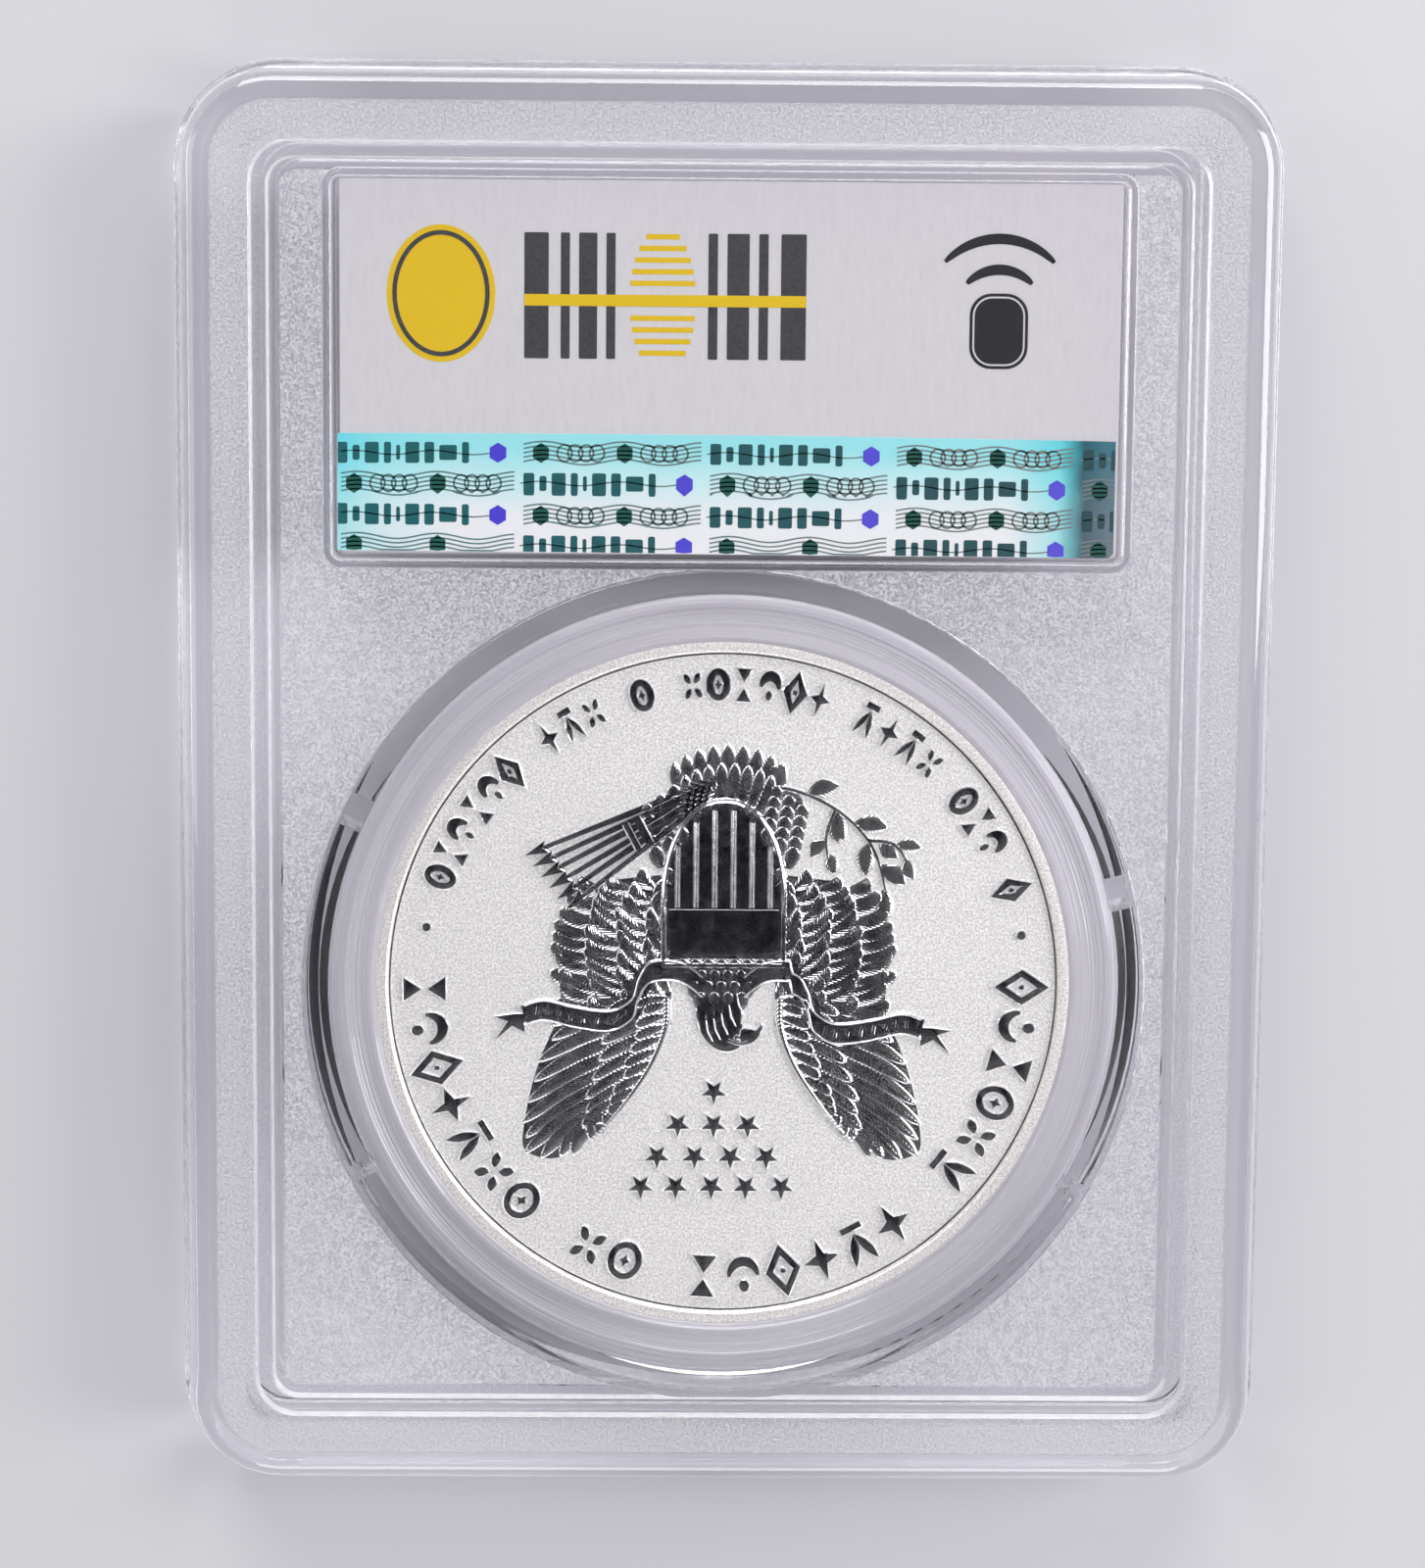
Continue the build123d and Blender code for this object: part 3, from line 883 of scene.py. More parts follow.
def draw_ribbons(form):
    """Two ribbons that stream from the bird's neck across its wings, with plain bars along them."""
    for side, rise in ((-1, 0.7), (1, 0.0)):
        path = [(x * side, y + rise * (x > 4)) for x, y in RIBBON_PATH]
        fork = [(x * side, y + rise) for x, y in RIBBON_FORK]
        for off in (-RIBBON_HALF, RIBBON_HALF):
            stroke(form, [(x, y + off) for x, y in path], round_profile(0.11, 0.33))
        half = [(-RIBBON_HALF, ROOT_DEPTH), (-RIBBON_HALF, 0.28)]
        stroke(form, path, [*half, (0.0, 0.24), *((-across, level) for across, level in reversed(half))])
        for k in range(9):
            at = len(path) // 2 + 2 + 3 * k
            if at < len(path) - 2:
                x, y = path[at]
                tall = 0.24 if k % 3 else 0.16
                stroke(form, [(x, y - tall), (x + 0.08, y + tall)], flat_profile(0.1, 0.3, 0.03))
        slab_of(form, fork[::-1] if side > 0 else fork, 0.22, bevel=0.05)


def draw_wreath(form):
    """Two sprigs that meet below the sun, on the unseen front face."""
    for side in (-1, 1):
        corners = [polar(12.6, angle) for angle in (-90, -60, -30, 0, 30, 58)]
        sprig(form, [(x * side, y) for x, y in corners], 26, 2.6, 1.05, stem=0.18, swap=side)


def draw_sun(form):
    """A sunburst: a dome, long and short rays by turns, and a ring."""
    mound(form, (0, 0), 2.6, 0.3, 48, 8)
    for k in range(24):
        reach = 8.4 if k % 2 == 0 else 6.4
        blade(form, polar(3.0, 15 * k), polar(reach, 15 * k), 0.9, 0.16, (0.04, 0.05), outline=leaf_outline)
    stroke(form, circle((0, 0), 9.4, 72), round_profile(0.14, 0.2), closed=True)


def draw_front_legend(form):
    """A ring of ornaments and a ring of beads round the front face."""
    legend(form, (5, 7, 5, 7), 17.3, 2.4, 205, -25, True)
    legend(form, (4, 4), 17.3, 2.0, 232, 308, False)
    for bead in circle((0, 0), 15.6, 96):
        mound(form, bead, 0.14, 0.12, 8, 3)


# ---------------------------------------------------------------- shells

RIM_TOP_LEVEL = 4.0
PANEL_LEVEL = 3.05
LABEL_WINDOW_LEVEL = 1.9
PARTING_Z = SLAB_HIGH.z / 2
LEVEL_TOLERANCE = 0.07
WALL_INSET = 1.0
WELL_RADII = (22.7, 24.4)
WELL_LEVEL = 2.6
CLEAR, GRAINED, OUTER_WALL, WELL_WALL, STEP_WALL = range(5)
FLAT = 0.999
STEEP = 0.5
ROUNDED = 0.7


def shell_face_finish(face, side):
    """Which finish a face has, by its place and slope; side says which shell it is on."""
    place = face.center / MM
    level = (place.z - PARTING_Z) * side
    from_grain = min(abs(level - RIM_TOP_LEVEL), abs(level - PANEL_LEVEL))
    if face.normal.z * side > FLAT and from_grain < LEVEL_TOLERANCE:
        return GRAINED
    from_edge = min(SLAB_SIZE.x / 2 - abs(place.x), SLAB_SIZE.y / 2 - abs(place.y))
    if from_edge < WALL_INSET and abs(face.normal.z) < ROUNDED:
        return OUTER_WALL
    if WELL_RADII[0] < (place - COIN_CENTRE).to_2d().length < WELL_RADII[1] and abs(level) < WELL_LEVEL:
        return WELL_WALL
    if LABEL_WINDOW_LEVEL < level < RIM_TOP_LEVEL and abs(face.normal.z) < STEEP:
        return STEP_WALL
    return CLEAR


def finish_shell(name, side, materials):
    """Gives every face of a shell its finish."""
    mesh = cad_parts[name].data
    mesh.materials.clear()
    for material in materials:
        mesh.materials.append(material)
    for face in mesh.polygons:
        face.material_index = shell_face_finish(face, side)


# One for each kind of face, in the order of their numbers.
shell_finishes = (
    clear_plastic("clear_shell"),
    milky_plastic("frosted_shell", 7.0, (0.9, 0.33), ((0.70, 0.69, 0.76), (1.0, 0.992, 1.0)), 0.3, 0.00008),
    milky_plastic("shell_edge", 1.0, (0.86, 0.8), ((0.97, 0.96, 1.0), WHITE), 0.02, 0.000002, EDGE_SHADE),
    clear_plastic("well_wall", roughness=0.1),
    milky_plastic("step_wall", 1.0, (0.5, 0.42), ((0.98, 0.97, 1.0), WHITE), 0.1, 0.000005),
)
finish_shell("back_shell", 1, shell_finishes)
finish_shell("front_shell", -1, shell_finishes)

# ---------------------------------------------------------------- ring

RING_LOW, RING_HIGH = node_box("coin_ring")
RING_ROUND = 0.55
RING_MOUTH = 0.6
RING_LIP = 0.15
RING_STEP = 0.08
RING_STEP_WIDTH = 0.3
RING_STEPS = 6
RING_SEGMENTS = 240
GROOVE_GAP = 0.05


def ring_profile():
    """Half the ring's section above its middle: groove, lip, rolled mouth, flat top and rounded shoulder."""
    outer = (RING_HIGH.x - RING_LOW.x) / 2
    top = (RING_HIGH.z - RING_LOW.z) / 2
    groove = (COIN_HIGH.z - COIN_LOW.z) / 2 + GROOVE_GAP
    lip = COIN_RADIUS - RING_LIP
    roll = RING_LIP + RING_MOUTH
    crest = groove + RING_LIP
    upper = [(COIN_RADIUS + GROOVE_GAP, 0), (COIN_RADIUS + GROOVE_GAP, groove), (lip, groove)]
    for k in range(RING_STEPS):
        turn = math.pi / 2 * k / RING_STEPS
        upper.append((lip + roll * (1 - math.cos(turn)), crest + (top - crest) * math.sin(turn)))
    # A shallow step runs round the top face.
    step = outer - RING_ROUND - RING_STEP_WIDTH
    upper += [(lip + roll, top - RING_STEP), (step - RING_STEP, top - RING_STEP), (step, top)]
    for k in range(RING_STEPS + 1):
        turn = math.pi / 2 * (1 - k / RING_STEPS)
        upper.append((outer - RING_ROUND * (1 - math.cos(turn)), top - RING_ROUND * (1 - math.sin(turn))))
    upper.append((outer, 0))
    return upper


def build_ring(material):
    """The soft ring that grips the coin's edge, its section swept round the coin's axis."""
    upper = ring_profile()
    section = upper + [(r, -z) for r, z in reversed(upper[1:-1])]
    points = []
    for k in range(RING_SEGMENTS):
        points += [about_coin(r, 2 * math.pi * k / RING_SEGMENTS, z) for r, z in section]
    form = Form()
    form.add(points, band_faces(RING_SEGMENTS, len(section), wrap=True))
    form.piece("soft_ring", material, HOLDER, "ring_plastic", sharp=50.0, replaces=("coin_ring",))


def ring_plastic(name):
    """The soft ring's milky plastic, with fine lines running round it from its turned mould."""
    material, tree, output = new_material(name)
    noise = {"W": distance_from_axis(tree, COIN_CENTRE), "Scale": 1.5, "Detail": 3.0, "Roughness": 0.6}
    lines = add_node(tree, "TexNoise", noise, noise_dimensions="1D").outputs["Fac"]
    inputs = {
        "Base Color": colour_ramp(tree, lines, [(0.3, (0.84, 0.83, 0.88)), (0.6, (0.98, 0.97, 1.0))]),
        "Roughness": 0.05,
        "Transmission Weight": 0.6,
        "Normal": bump(tree, lines, 1.0, 0.0002),
    }
    let_lamps_through(tree, output, inputs)
    return material


build_ring(ring_plastic("soft_ring"))

# ---------------------------------------------------------------- the coin's finishes and pieces


def frosted_silver(name):
    """Struck silver with a fine matt frost, warmer and duller on the rim, and darkened at its very edge by
    painted shade and grime where it meets the ring.
    """
    material, tree, output = new_material(name)
    low, high = (0.64, 0.63, 0.62), (1.0, 0.99, 0.975)
    noise, frost_colour = noise_ramp(tree, 8.0, low, high, detail=2.0, spread=0.14)
    radius = distance_from_axis(tree, COIN_CENTRE)
    inner = COIN_RADIUS - RIM_WIDTH
    on_rim = add_node(tree, "MapRange", {"Value": radius, "From Min": inner - 0.1, "From Max": inner + 0.1})
    worn = multiplied(tree, on_rim.outputs[0], frost_colour, (0.945, 0.93, 0.91, 1.0))
    # Painted shade and grime: the colour darkens over the last 0.2 mm of the coin's edge, where it meets the
    # ring.
    edge = {"Value": radius, "From Min": COIN_RADIUS - 0.2, "From Max": COIN_RADIUS}
    edge_shade_and_grime = add_node(tree, "MapRange", edge)
    inputs = {
        "Base Color": multiplied(tree, edge_shade_and_grime.outputs[0], worn, (0.42, 0.41, 0.40, 1.0)),
        "Roughness": 0.55,
        "Metallic": 1.0,
        "Normal": bump(tree, noise, 0.5, 0.00004),
    }
    coat(tree, output, inputs)
    return material


BARB_SLANT = 1.3
BARB_WAVES = 26.0
BARB_HEIGHT = 0.0000063
WEAR_HEIGHT = 0.00004


def feather_barbs(tree):
    """A fine wave that slants back from a feather's quill on both sides."""
    grain = add_node(tree, "UVMap", uv_map="grain")
    parts = add_node(tree, "SeparateXYZ", {0: grain.outputs["UV"]})
    out = add_node(tree, "Math", {0: parts.outputs["Y"]}, operation="ABSOLUTE")
    slanted = {0: out.outputs[0], 1: -BARB_SLANT, 2: parts.outputs["X"]}
    slant = add_node(tree, "Math", slanted, operation="MULTIPLY_ADD")
    turns = add_node(tree, "Math", {0: slant.outputs[0], 1: BARB_WAVES}, operation="MULTIPLY")
    return add_node(tree, "Math", {0: turns.outputs[0]}, operation="SINE").outputs[0]


def mirror_silver(name, barbs):
    """Polished silver, with faint wear or with a feather's barbs in its surface."""
    material, tree, output = new_material(name)
    noise = {"Vector": object_position(tree), "Scale": 1.6, "Detail": 4.0, "Roughness": 0.6}
    wear = add_node(tree, "TexNoise", noise).outputs["Fac"]
    span = {"Value": wear, "From Min": 0.3, "From Max": 0.75, "To Min": 0.05, "To Max": 0.16}
    tilt = bump(tree, feather_barbs(tree), 1.0, BARB_HEIGHT) if barbs else bump(tree, wear, 0.1, WEAR_HEIGHT)
    inputs = {
        "Base Color": (0.92, 0.92, 0.93, 1.0),
        "Roughness": add_node(tree, "MapRange", span).outputs[0],
        "Metallic": 1.0,
        "Normal": tilt,
    }
    coat(tree, output, inputs)
    return material


frost = frosted_silver("frosted_silver")
polish = mirror_silver("mirror_silver", False)
plumage = mirror_silver("feathered_silver", True)
build_coin_body(frost)
# The coin's raised shapes: name, finish, drawing, and the face it is struck on.
COIN_PIECES = (
    ("coin_legend", polish, draw_legend, struck_on_back),
    ("coin_back_line", polish, draw_rim_line, struck_on_back),
    ("coin_front_line", polish, draw_rim_line, struck_on_front),
    ("coin_stars", polish, draw_stars, struck_on_back),
    ("coin_shield", polish, draw_shield, struck_on_back),
    ("coin_bird_feathers", plumage, draw_feathers, struck_on_back),
    ("coin_bird_head", polish, draw_head, struck_on_back),
    ("coin_branch", plumage, draw_branch, struck_on_back),
    ("coin_arrows", polish, draw_arrows, struck_on_back),
    ("coin_ribbons", polish, draw_ribbons, struck_on_back),
    ("coin_front_wreath", polish, draw_wreath, struck_on_front),
    ("coin_front_sun", polish, draw_sun, struck_on_front),
    ("coin_front_marks", polish, draw_front_legend, struck_on_front),
)
for name, material, draw, place in COIN_PIECES:
    relief = Form()
    draw(relief)
    relief.piece(name, material, COIN, "silver", place)

# ---------------------------------------------------------------- pieces inside the label


def give(name, material):
    """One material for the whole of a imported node."""
    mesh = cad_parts[name].data
    mesh.materials.clear()
    mesh.materials.append(material)


give("label_adhesive", speckled("adhesive", (0.70, 0.66, 0.52), (0.82, 0.79, 0.68)))
give("tag_film", speckled("film", (0.72, 0.72, 0.70), (0.84, 0.84, 0.83), roughness=0.3))
give("tag_antenna", speckled("antenna", (0.70, 0.71, 0.73), (0.86, 0.87, 0.88), roughness=0.3, metallic=1.0))
give("tag_chip", speckled("chip", (0.02, 0.02, 0.022), (0.05, 0.05, 0.055), roughness=0.35))

# ---------------------------------------------------------------- label

CARD_LOW, CARD_HIGH = node_box("back_label")
FRONT_LOW = node_box("front_label")[0]
STRIP_LOW, STRIP_HIGH = node_box("security_strip")
CARD_MIDDLE = (CARD_LOW + CARD_HIGH) / 2
CARD_SIZE = CARD_HIGH - CARD_LOW
INK = 0.012
UNDER_INK = -0.004
CARD_SOFTNESS = 0.03


def on_back_card(point):
    """From the back label's own drawing, measured from its middle, to its printed face."""
    u, v, h = point
    return (CARD_MIDDLE.x + u, CARD_MIDDLE.y + v, CARD_HIGH.z + h)


def on_front_card(point):
    """From the front label's own drawing to its printed face, seen from below."""
    u, v, h = point
    return (CARD_MIDDLE.x - u, CARD_MIDDLE.y + v, FRONT_LOW.z - h)


def rounded_box(width, height, radius, centre=(0.0, 0.0), steps=5):
    """A rounded rectangle's outline, anticlockwise."""
    made = []
    for x, y, start in ((1, 1, 0), (-1, 1, 90), (-1, -1, 180), (1, -1, 270)):
        corner = (centre[0] + x * (width / 2 - radius), centre[1] + y * (height / 2 - radius))
        made += arc(corner, radius, start, start + 90, steps)
    return made


def hexagon(width, height, centre):
    """A hexagon standing on a point."""
    half, tall = width / 2, height / 2
    left = [(0, tall), (-half, tall * 0.5), (-half, -tall * 0.5)]
    return [(centre[0] + x, centre[1] + y) for x, y in left + [(-x, -y) for x, y in left]]


def ink_line(width, height=INK):
    """Across a printed line."""
    half = width / 2
    return [(-half, UNDER_INK), (-half, height), (half, height), (half, UNDER_INK)]


def print_shape(form, outline):
    """A printed area."""
    slab_of(form, outline, INK, bevel=0.002, base=UNDER_INK)


def print_line(form, path, width, closed=False, height=INK):
    """A printed line along a path."""
    stroke(form, path, ink_line(width, height), closed=closed)


def build_card(name, place, replaced, material):
    """A stiff paper card with slightly soft corners, its printed face up."""
    outline = rounded_box(CARD_SIZE.x, CARD_SIZE.y, 0.25)
    inner = inset_outline(outline, CARD_SOFTNESS)
    points = []
    levels = (-CARD_SIZE.z, CARD_SOFTNESS - CARD_SIZE.z, -CARD_SOFTNESS, 0.0)
    for level, loop in zip(levels, (inner, outline, outline, inner)):
        points += [(x, y, level) for x, y in loop]
    form = Form()
    form.add(points, band_faces(4, len(outline)) + lids(4, len(outline)))
    form.piece(name, material, HOLDER, "label_card", place, replaces=(replaced,))


SEAL = (-16.55, 4.2)
SEAL_SIZE = (6.2, 7.8)
BARS_LEFT, BARS_RIGHT = -11.8, 4.3
BARS_LOW, BARS_HIGH = 0.55, 7.7
BARS_MIDDLE = (BARS_LOW + BARS_HIGH) / 2 - 0.25
BARS_INNER = (-6.6, -1.3)
# A lens of fine lines between the two blocks of bars.
LENS_MIDDLE = -3.9
LENS_HALF = 1.9
LENS_LINES = 11
LENS_PITCH = 0.66
LINE_GAP = 0.5
# The radio mark's rounded block, and where its arcs are drawn from.
RADIO_MIDDLE = (15.35, 2.3)
RADIO_SIZE = (3.35, 4.3)
RADIO_ROUND = 1.25
ARCS_MIDDLE = (15.35, 3.2)


def bar_code(form, left, right, low, high, pattern):
    """Upright bars; pattern gives the widths of bar and gap by turns."""
    scale = (right - left) / sum(pattern)
    at = left
    for k, wide in enumerate(pattern):
        if k % 2 == 0:
            centre = (at + wide * scale / 2, (low + high) / 2)
            print_shape(form, rounded_box(wide * scale, high - low, 0.06, centre, steps=2))
        at += wide * scale


def draw_gold_print(form):
    """The oval seal and the fine lines between the two blocks of bars."""
    print_shape(form, oval(*SEAL_SIZE, SEAL))
    for k in range(LENS_LINES):
        level = BARS_LOW + 0.35 + k * LENS_PITCH
        height = level - BARS_MIDDLE
        if abs(height) >= LINE_GAP:
            reach = LENS_HALF * math.sqrt(max(0.05, 1 - (height / 4.2) ** 2))
            print_line(form, [(LENS_MIDDLE - reach, level), (LENS_MIDDLE + reach, level)], 0.3)


def draw_gold_line(form):
    """The bright line across the bars."""
    print_line(form, [(BARS_LEFT, BARS_MIDDLE), (BARS_RIGHT, BARS_MIDDLE)], 0.66, height=2 * INK)


def draw_grey_print(form):
    """Two blocks of upright bars, and the line inside the seal's edge."""
    bar_code(form, BARS_LEFT, BARS_INNER[0], BARS_LOW, BARS_HIGH, (8, 4, 3, 3, 6, 3, 3))
    bar_code(form, BARS_INNER[1], BARS_RIGHT, BARS_LOW, BARS_HIGH, (3, 3, 7, 3, 3, 4, 8))
    seal_line = oval(SEAL_SIZE[0] - 0.9, SEAL_SIZE[1] - 0.9, SEAL)
    print_line(form, seal_line, 0.26, closed=True, height=2 * INK)


def draw_radio_mark(form):
    """A rounded block under two arcs."""
    for radius in (4.35, 2.6):
        wave = arc(ARCS_MIDDLE, radius, 44, 136, 24)
        stroke(form, wave, ink_line(0.6), width=lambda t: 0.35 + 0.65 * math.sin(math.pi * t) ** 0.6)
    print_shape(form, rounded_box(*RADIO_SIZE, RADIO_ROUND, RADIO_MIDDLE, steps=8))


def draw_radio_line(form):
    """The pale line inside the rounded block's edge."""
    width, height = (side - 0.45 for side in RADIO_SIZE)
    inner = rounded_box(width, height, RADIO_ROUND - 0.2, RADIO_MIDDLE, steps=8)
    print_line(form, inner, 0.1, closed=True, height=2 * INK)


STRIP_TILT = -0.2
ROW_PITCH = 1.75
TOP_ROW = 1.1
BLOCK = 10.72
STRIP_BOW = 0.12
STRIP_LENGTH = STRIP_HIGH.x - STRIP_LOW.x - 0.03
STRIP_HEIGHT = 6.72
STRIP_CLIP = 0.28
STRIP_STEPS = 40
STRIP_MARGIN = 0.03
SMALLEST_PRINT = 0.12
WAVE_STEPS = 40
WAVE_LENGTH = 4.6
BAR_WIDTHS = (0.62, 0.4, 0.8, 0.4, 0.22, 0.8, 0.55, 1.0, 0.4)


def strip_spot(u, v):
    """A place on the strip, from its own level drawing: the strip is stuck on slightly turned and bowed."""
    half = (STRIP_HIGH.x - STRIP_LOW.x) / 2
    bowed = v + STRIP_BOW * (1 - (u / half) ** 2) * (v > 0) - STRIP_BOW / 2
    return turned([(u, bowed)], STRIP_TILT)[0]


def on_strip(point):
    """From the strip's level drawing, measured from its middle, to its printed face."""
    u, v = strip_spot(point[0], point[1])
    middle = (STRIP_LOW + STRIP_HIGH) / 2
    return (middle.x + u, middle.y + v, STRIP_HIGH.z - 0.002 + point[2])


def print_on_strip(form, outline):
    """A printed area cut back to the strip, or nothing if too little of it is left."""
    half, tall = STRIP_LENGTH / 2 - STRIP_MARGIN, STRIP_HEIGHT / 2 - STRIP_MARGIN
    kept = [(max(-half, min(half, x)), max(-tall, min(tall, y))) for x, y in outline]
    spans = [max(places) - min(places) for places in zip(*kept)]
    if min(spans) > SMALLEST_PRINT:
        print_shape(form, kept)


def draw_bar_block(bars, hexes, waves, left, level):
    """Plain bars of several widths in a row, a hexagon after them and one fine wave behind."""
    at = left + 0.2
    for k, wide in enumerate(BAR_WIDTHS):
        tall = 1.2 if k % 3 != 1 else 0.86
        print_on_strip(bars, rounded_box(wide, tall, 0.1, (at + wide / 2, level), steps=2))
        at += wide + 0.3
    print_on_strip(hexes, hexagon(0.95, 1.15, (left + 9.45, level)))
    draw_wave(waves, left, left + 9.0, level, 0.12, 0.07)


def draw_wave(form, start, end, level, swing, width):
    """A fine sine wave, as far as it lies on the strip."""
    path = []
    for k in range(WAVE_STEPS + 1):
        x = start + (end - start) * k / WAVE_STEPS
        y = level + swing * math.sin(2 * math.pi * (x - start) / WAVE_LENGTH)
        if abs(x) < STRIP_LENGTH / 2 - 0.05 and abs(y) < STRIP_HEIGHT / 2 - 0.06:
            path.append((x, y))
    if len(path) > 3:
        print_line(form, path, width)


def draw_wave_block(waves, greens, left, level):
    """Five fine waves with two green hexagons and linked ovals."""
    for k in range(5):
        draw_wave(waves, left + 0.2, left + 10.4, level + 0.5 - 0.25 * k, 0.16, 0.085)
    for across in (left + 1.2, left + 6.0):
        print_on_strip(greens, hexagon(0.9, 1.15, (across, level)))
        for k in range(4):
            ring = oval(0.85, 0.95, (across + 1.35 + 0.62 * k, level), 20)
            if all(abs(x) <= STRIP_LENGTH / 2 - 0.05 and abs(y) <= STRIP_HEIGHT / 2 - 0.05 for x, y in ring):
                print_line(waves, ring, 0.1, closed=True)


def build_foil(foil):
    """The foil sheet, with one corner cut off. Steps along its long edges let it bow."""
    half, tall = STRIP_LENGTH / 2, STRIP_HEIGHT / 2
    places = [-half + STRIP_LENGTH * k / STRIP_STEPS for k in range(STRIP_STEPS)]
    foot = [(x, -tall) for x in places] + [(half - STRIP_CLIP, -tall), (half, STRIP_CLIP - tall)]
    head_line = [(half - STRIP_LENGTH * k / STRIP_STEPS, tall) for k in range(STRIP_STEPS + 1)]
    sheet = Form()
    thick = STRIP_HIGH.z - STRIP_LOW.z - 0.004
    slab_of(sheet, foot + head_line, 0.0, bevel=0.004, base=-thick)
    sheet.piece("security_foil", foil, HOLDER, "security_foil", on_strip, replaces=("security_strip",))


def build_strip(foil, ink, violet, green, wave_ink):
    """The foil security strip with rows of plain bars, hexagons, ovals and waves."""
    build_foil(foil)
    bars, hexes, greens, waves = Form(), Form(), Form(), Form()
    for row in range(-1, 4):
        level = STRIP_HEIGHT / 2 - TOP_ROW - row * ROW_PITCH
        for block in range(-1, 5):
            left = -STRIP_LENGTH / 2 - 0.25 + block * BLOCK
            if (row + block) % 2 == 0:
                draw_bar_block(bars, hexes, waves, left, level)
            else:
                draw_wave_block(waves, greens, left, level)
    bars.piece("strip_bars", ink, HOLDER, "security_foil", on_strip)
    hexes.piece("strip_hexagons", violet, HOLDER, "security_foil", on_strip)
    greens.piece("strip_green_hexagons", green, HOLDER, "security_foil", on_strip)
    waves.piece("strip_waves", wave_ink, HOLDER, "security_foil", on_strip)


WORDS_LEFT = -12.6
WORDS_TOP = 7.6
CODE_CELLS = 9
CELL_PITCH = 0.72


def draw_front_gold(form):
    """The front label's seal and its long line."""
    print_shape(form, oval(5.2, 6.6, (-17.5, 4.8)))
    print_line(form, [(-21.4, -0.4), (21.4, -0.4)], 0.35)


def draw_front_grey(form):
    """Three rows of plain bars where the front label has its words."""
    for row, wide in enumerate((22.0, 17.0, 19.5)):
        at = WORDS_LEFT
        k = 0
        while at < WORDS_LEFT + wide:
            part = (1.1, 0.7, 1.5, 0.9)[(k + row) % 4]
            middle = (at + part / 2, WORDS_TOP - 2.9 * row)
            print_shape(form, rounded_box(part, 1.5, 0.15, middle, steps=2))
            at += part + (0.9 if k % 5 == 4 else 0.35)
            k += 1


def draw_front_codes(form):
    """The front label's bar code and its square code, both without meaning."""
    bar_code(form, -20.6, 2.0, -9.2, -3.2, [1 + (7 * k * k + 3 * k) % 3 for k in range(75)])
    for row in range(CODE_CELLS):
        for column in range(CODE_CELLS):
            if row == 0 or column == 0 or (row * row * 3 + column * 5 + row * column) % 7 < 4:
                cell = (12.6 + CELL_PITCH * column, 8.6 - CELL_PITCH * row)
                print_shape(form, rounded_box(0.66, 0.66, 0.04, cell, steps=1))


def printed_paper(name):
    """Uncoated card: a faint fibre mottle and a soft tooth."""
    material, tree, output = new_material(name)
    fibre = add_node(tree, "Mapping", {"Vector": object_position(tree), "Scale": (1.0, 0.25, 1.0)}).outputs[0]
    mottle, colour = noise_ramp(tree, 3.5, (0.69, 0.675, 0.69), (0.75, 0.735, 0.75), detail=5.0, place=fibre)
    coat(tree, output, {"Base Color": colour, "Roughness": 0.75, "Normal": bump(tree, mottle, 0.25, 0.00003)})
    return material


def ink(name, colour, spread=0.12):
    """Printing ink with a little unevenness, so that the card shows through in places."""
    thin = [c + (0.6 - c) * spread * 0.5 for c in colour]
    dense = [c * (1 - spread) for c in colour]
    return speckled(name, dense, thin)


def position_ramp(tree, axis, low, high, stops, scale, swing):
    """A colour that changes along one axis, from low to high in millimetres, and wavers by a noise."""
    place = object_position(tree)
    along = add_node(tree, "SeparateXYZ", {0: place}).outputs[axis]
    noise = add_node(tree, "TexNoise", {"Vector": place, "Scale": scale, "Detail": 3.0})
    waver = add_node(tree, "Math", {0: noise.outputs["Fac"], 1: swing, 2: along}, operation="MULTIPLY_ADD")
    share = add_node(tree, "MapRange", {"Value": waver.outputs[0], "From Min": low, "From Max": high})
    return colour_ramp(tree, share.outputs[0], stops)


# The foil's painted reflection, as colours from its foot to its head, and from its left end to its right.
FOIL_REFLECTION_DOWN = ((0.0, WHITE), (0.45, (0.96, 1.0, 1.0)), (0.75, (0.64, 0.98, 0.99)), (1.0, (0.38, 0.90, 0.94)))
FOIL_REFLECTION_ALONG = (
    (0.0, (0.42, 0.90, 0.95)),
    (0.06, (0.78, 0.98, 0.99)),
    (0.16, WHITE),
    (0.87, WHITE),
    (0.935, (0.45, 0.88, 0.90)),
    (0.952, (0.20, 0.52, 0.55)),
    (0.968, (0.09, 0.15, 0.18)),
    (1.0, (0.17, 0.23, 0.27)),
)


def foil_material(name):
    """Diffractive foil, its play of light painted on as colour (painted reflection): cyan along its top and
    left, white below, teal and dark at its right end.
    """
    material, tree, output = new_material(name)
    down = position_ramp(tree, "Y", STRIP_LOW.y, STRIP_HIGH.y, FOIL_REFLECTION_DOWN, 0.25, 1.6)
    along = position_ramp(tree, "X", STRIP_LOW.x, STRIP_HIGH.x, FOIL_REFLECTION_ALONG, 0.5, 0.8)
    # Painted reflection: the foil's diffraction colours and its dark right end are set as base colour by
    # place.
    colour = multiplied(tree, 1.0, down, along)
    grain = add_node(tree, "TexNoise", {"Vector": object_position(tree), "Scale": 8.0, "Detail": 2.0})
    ripple = bump(tree, grain.outputs["Fac"], 0.3, 0.00002)
    coat(tree, output, {"Base Color": colour, "Roughness": 0.38, "Normal": ripple})
    return material


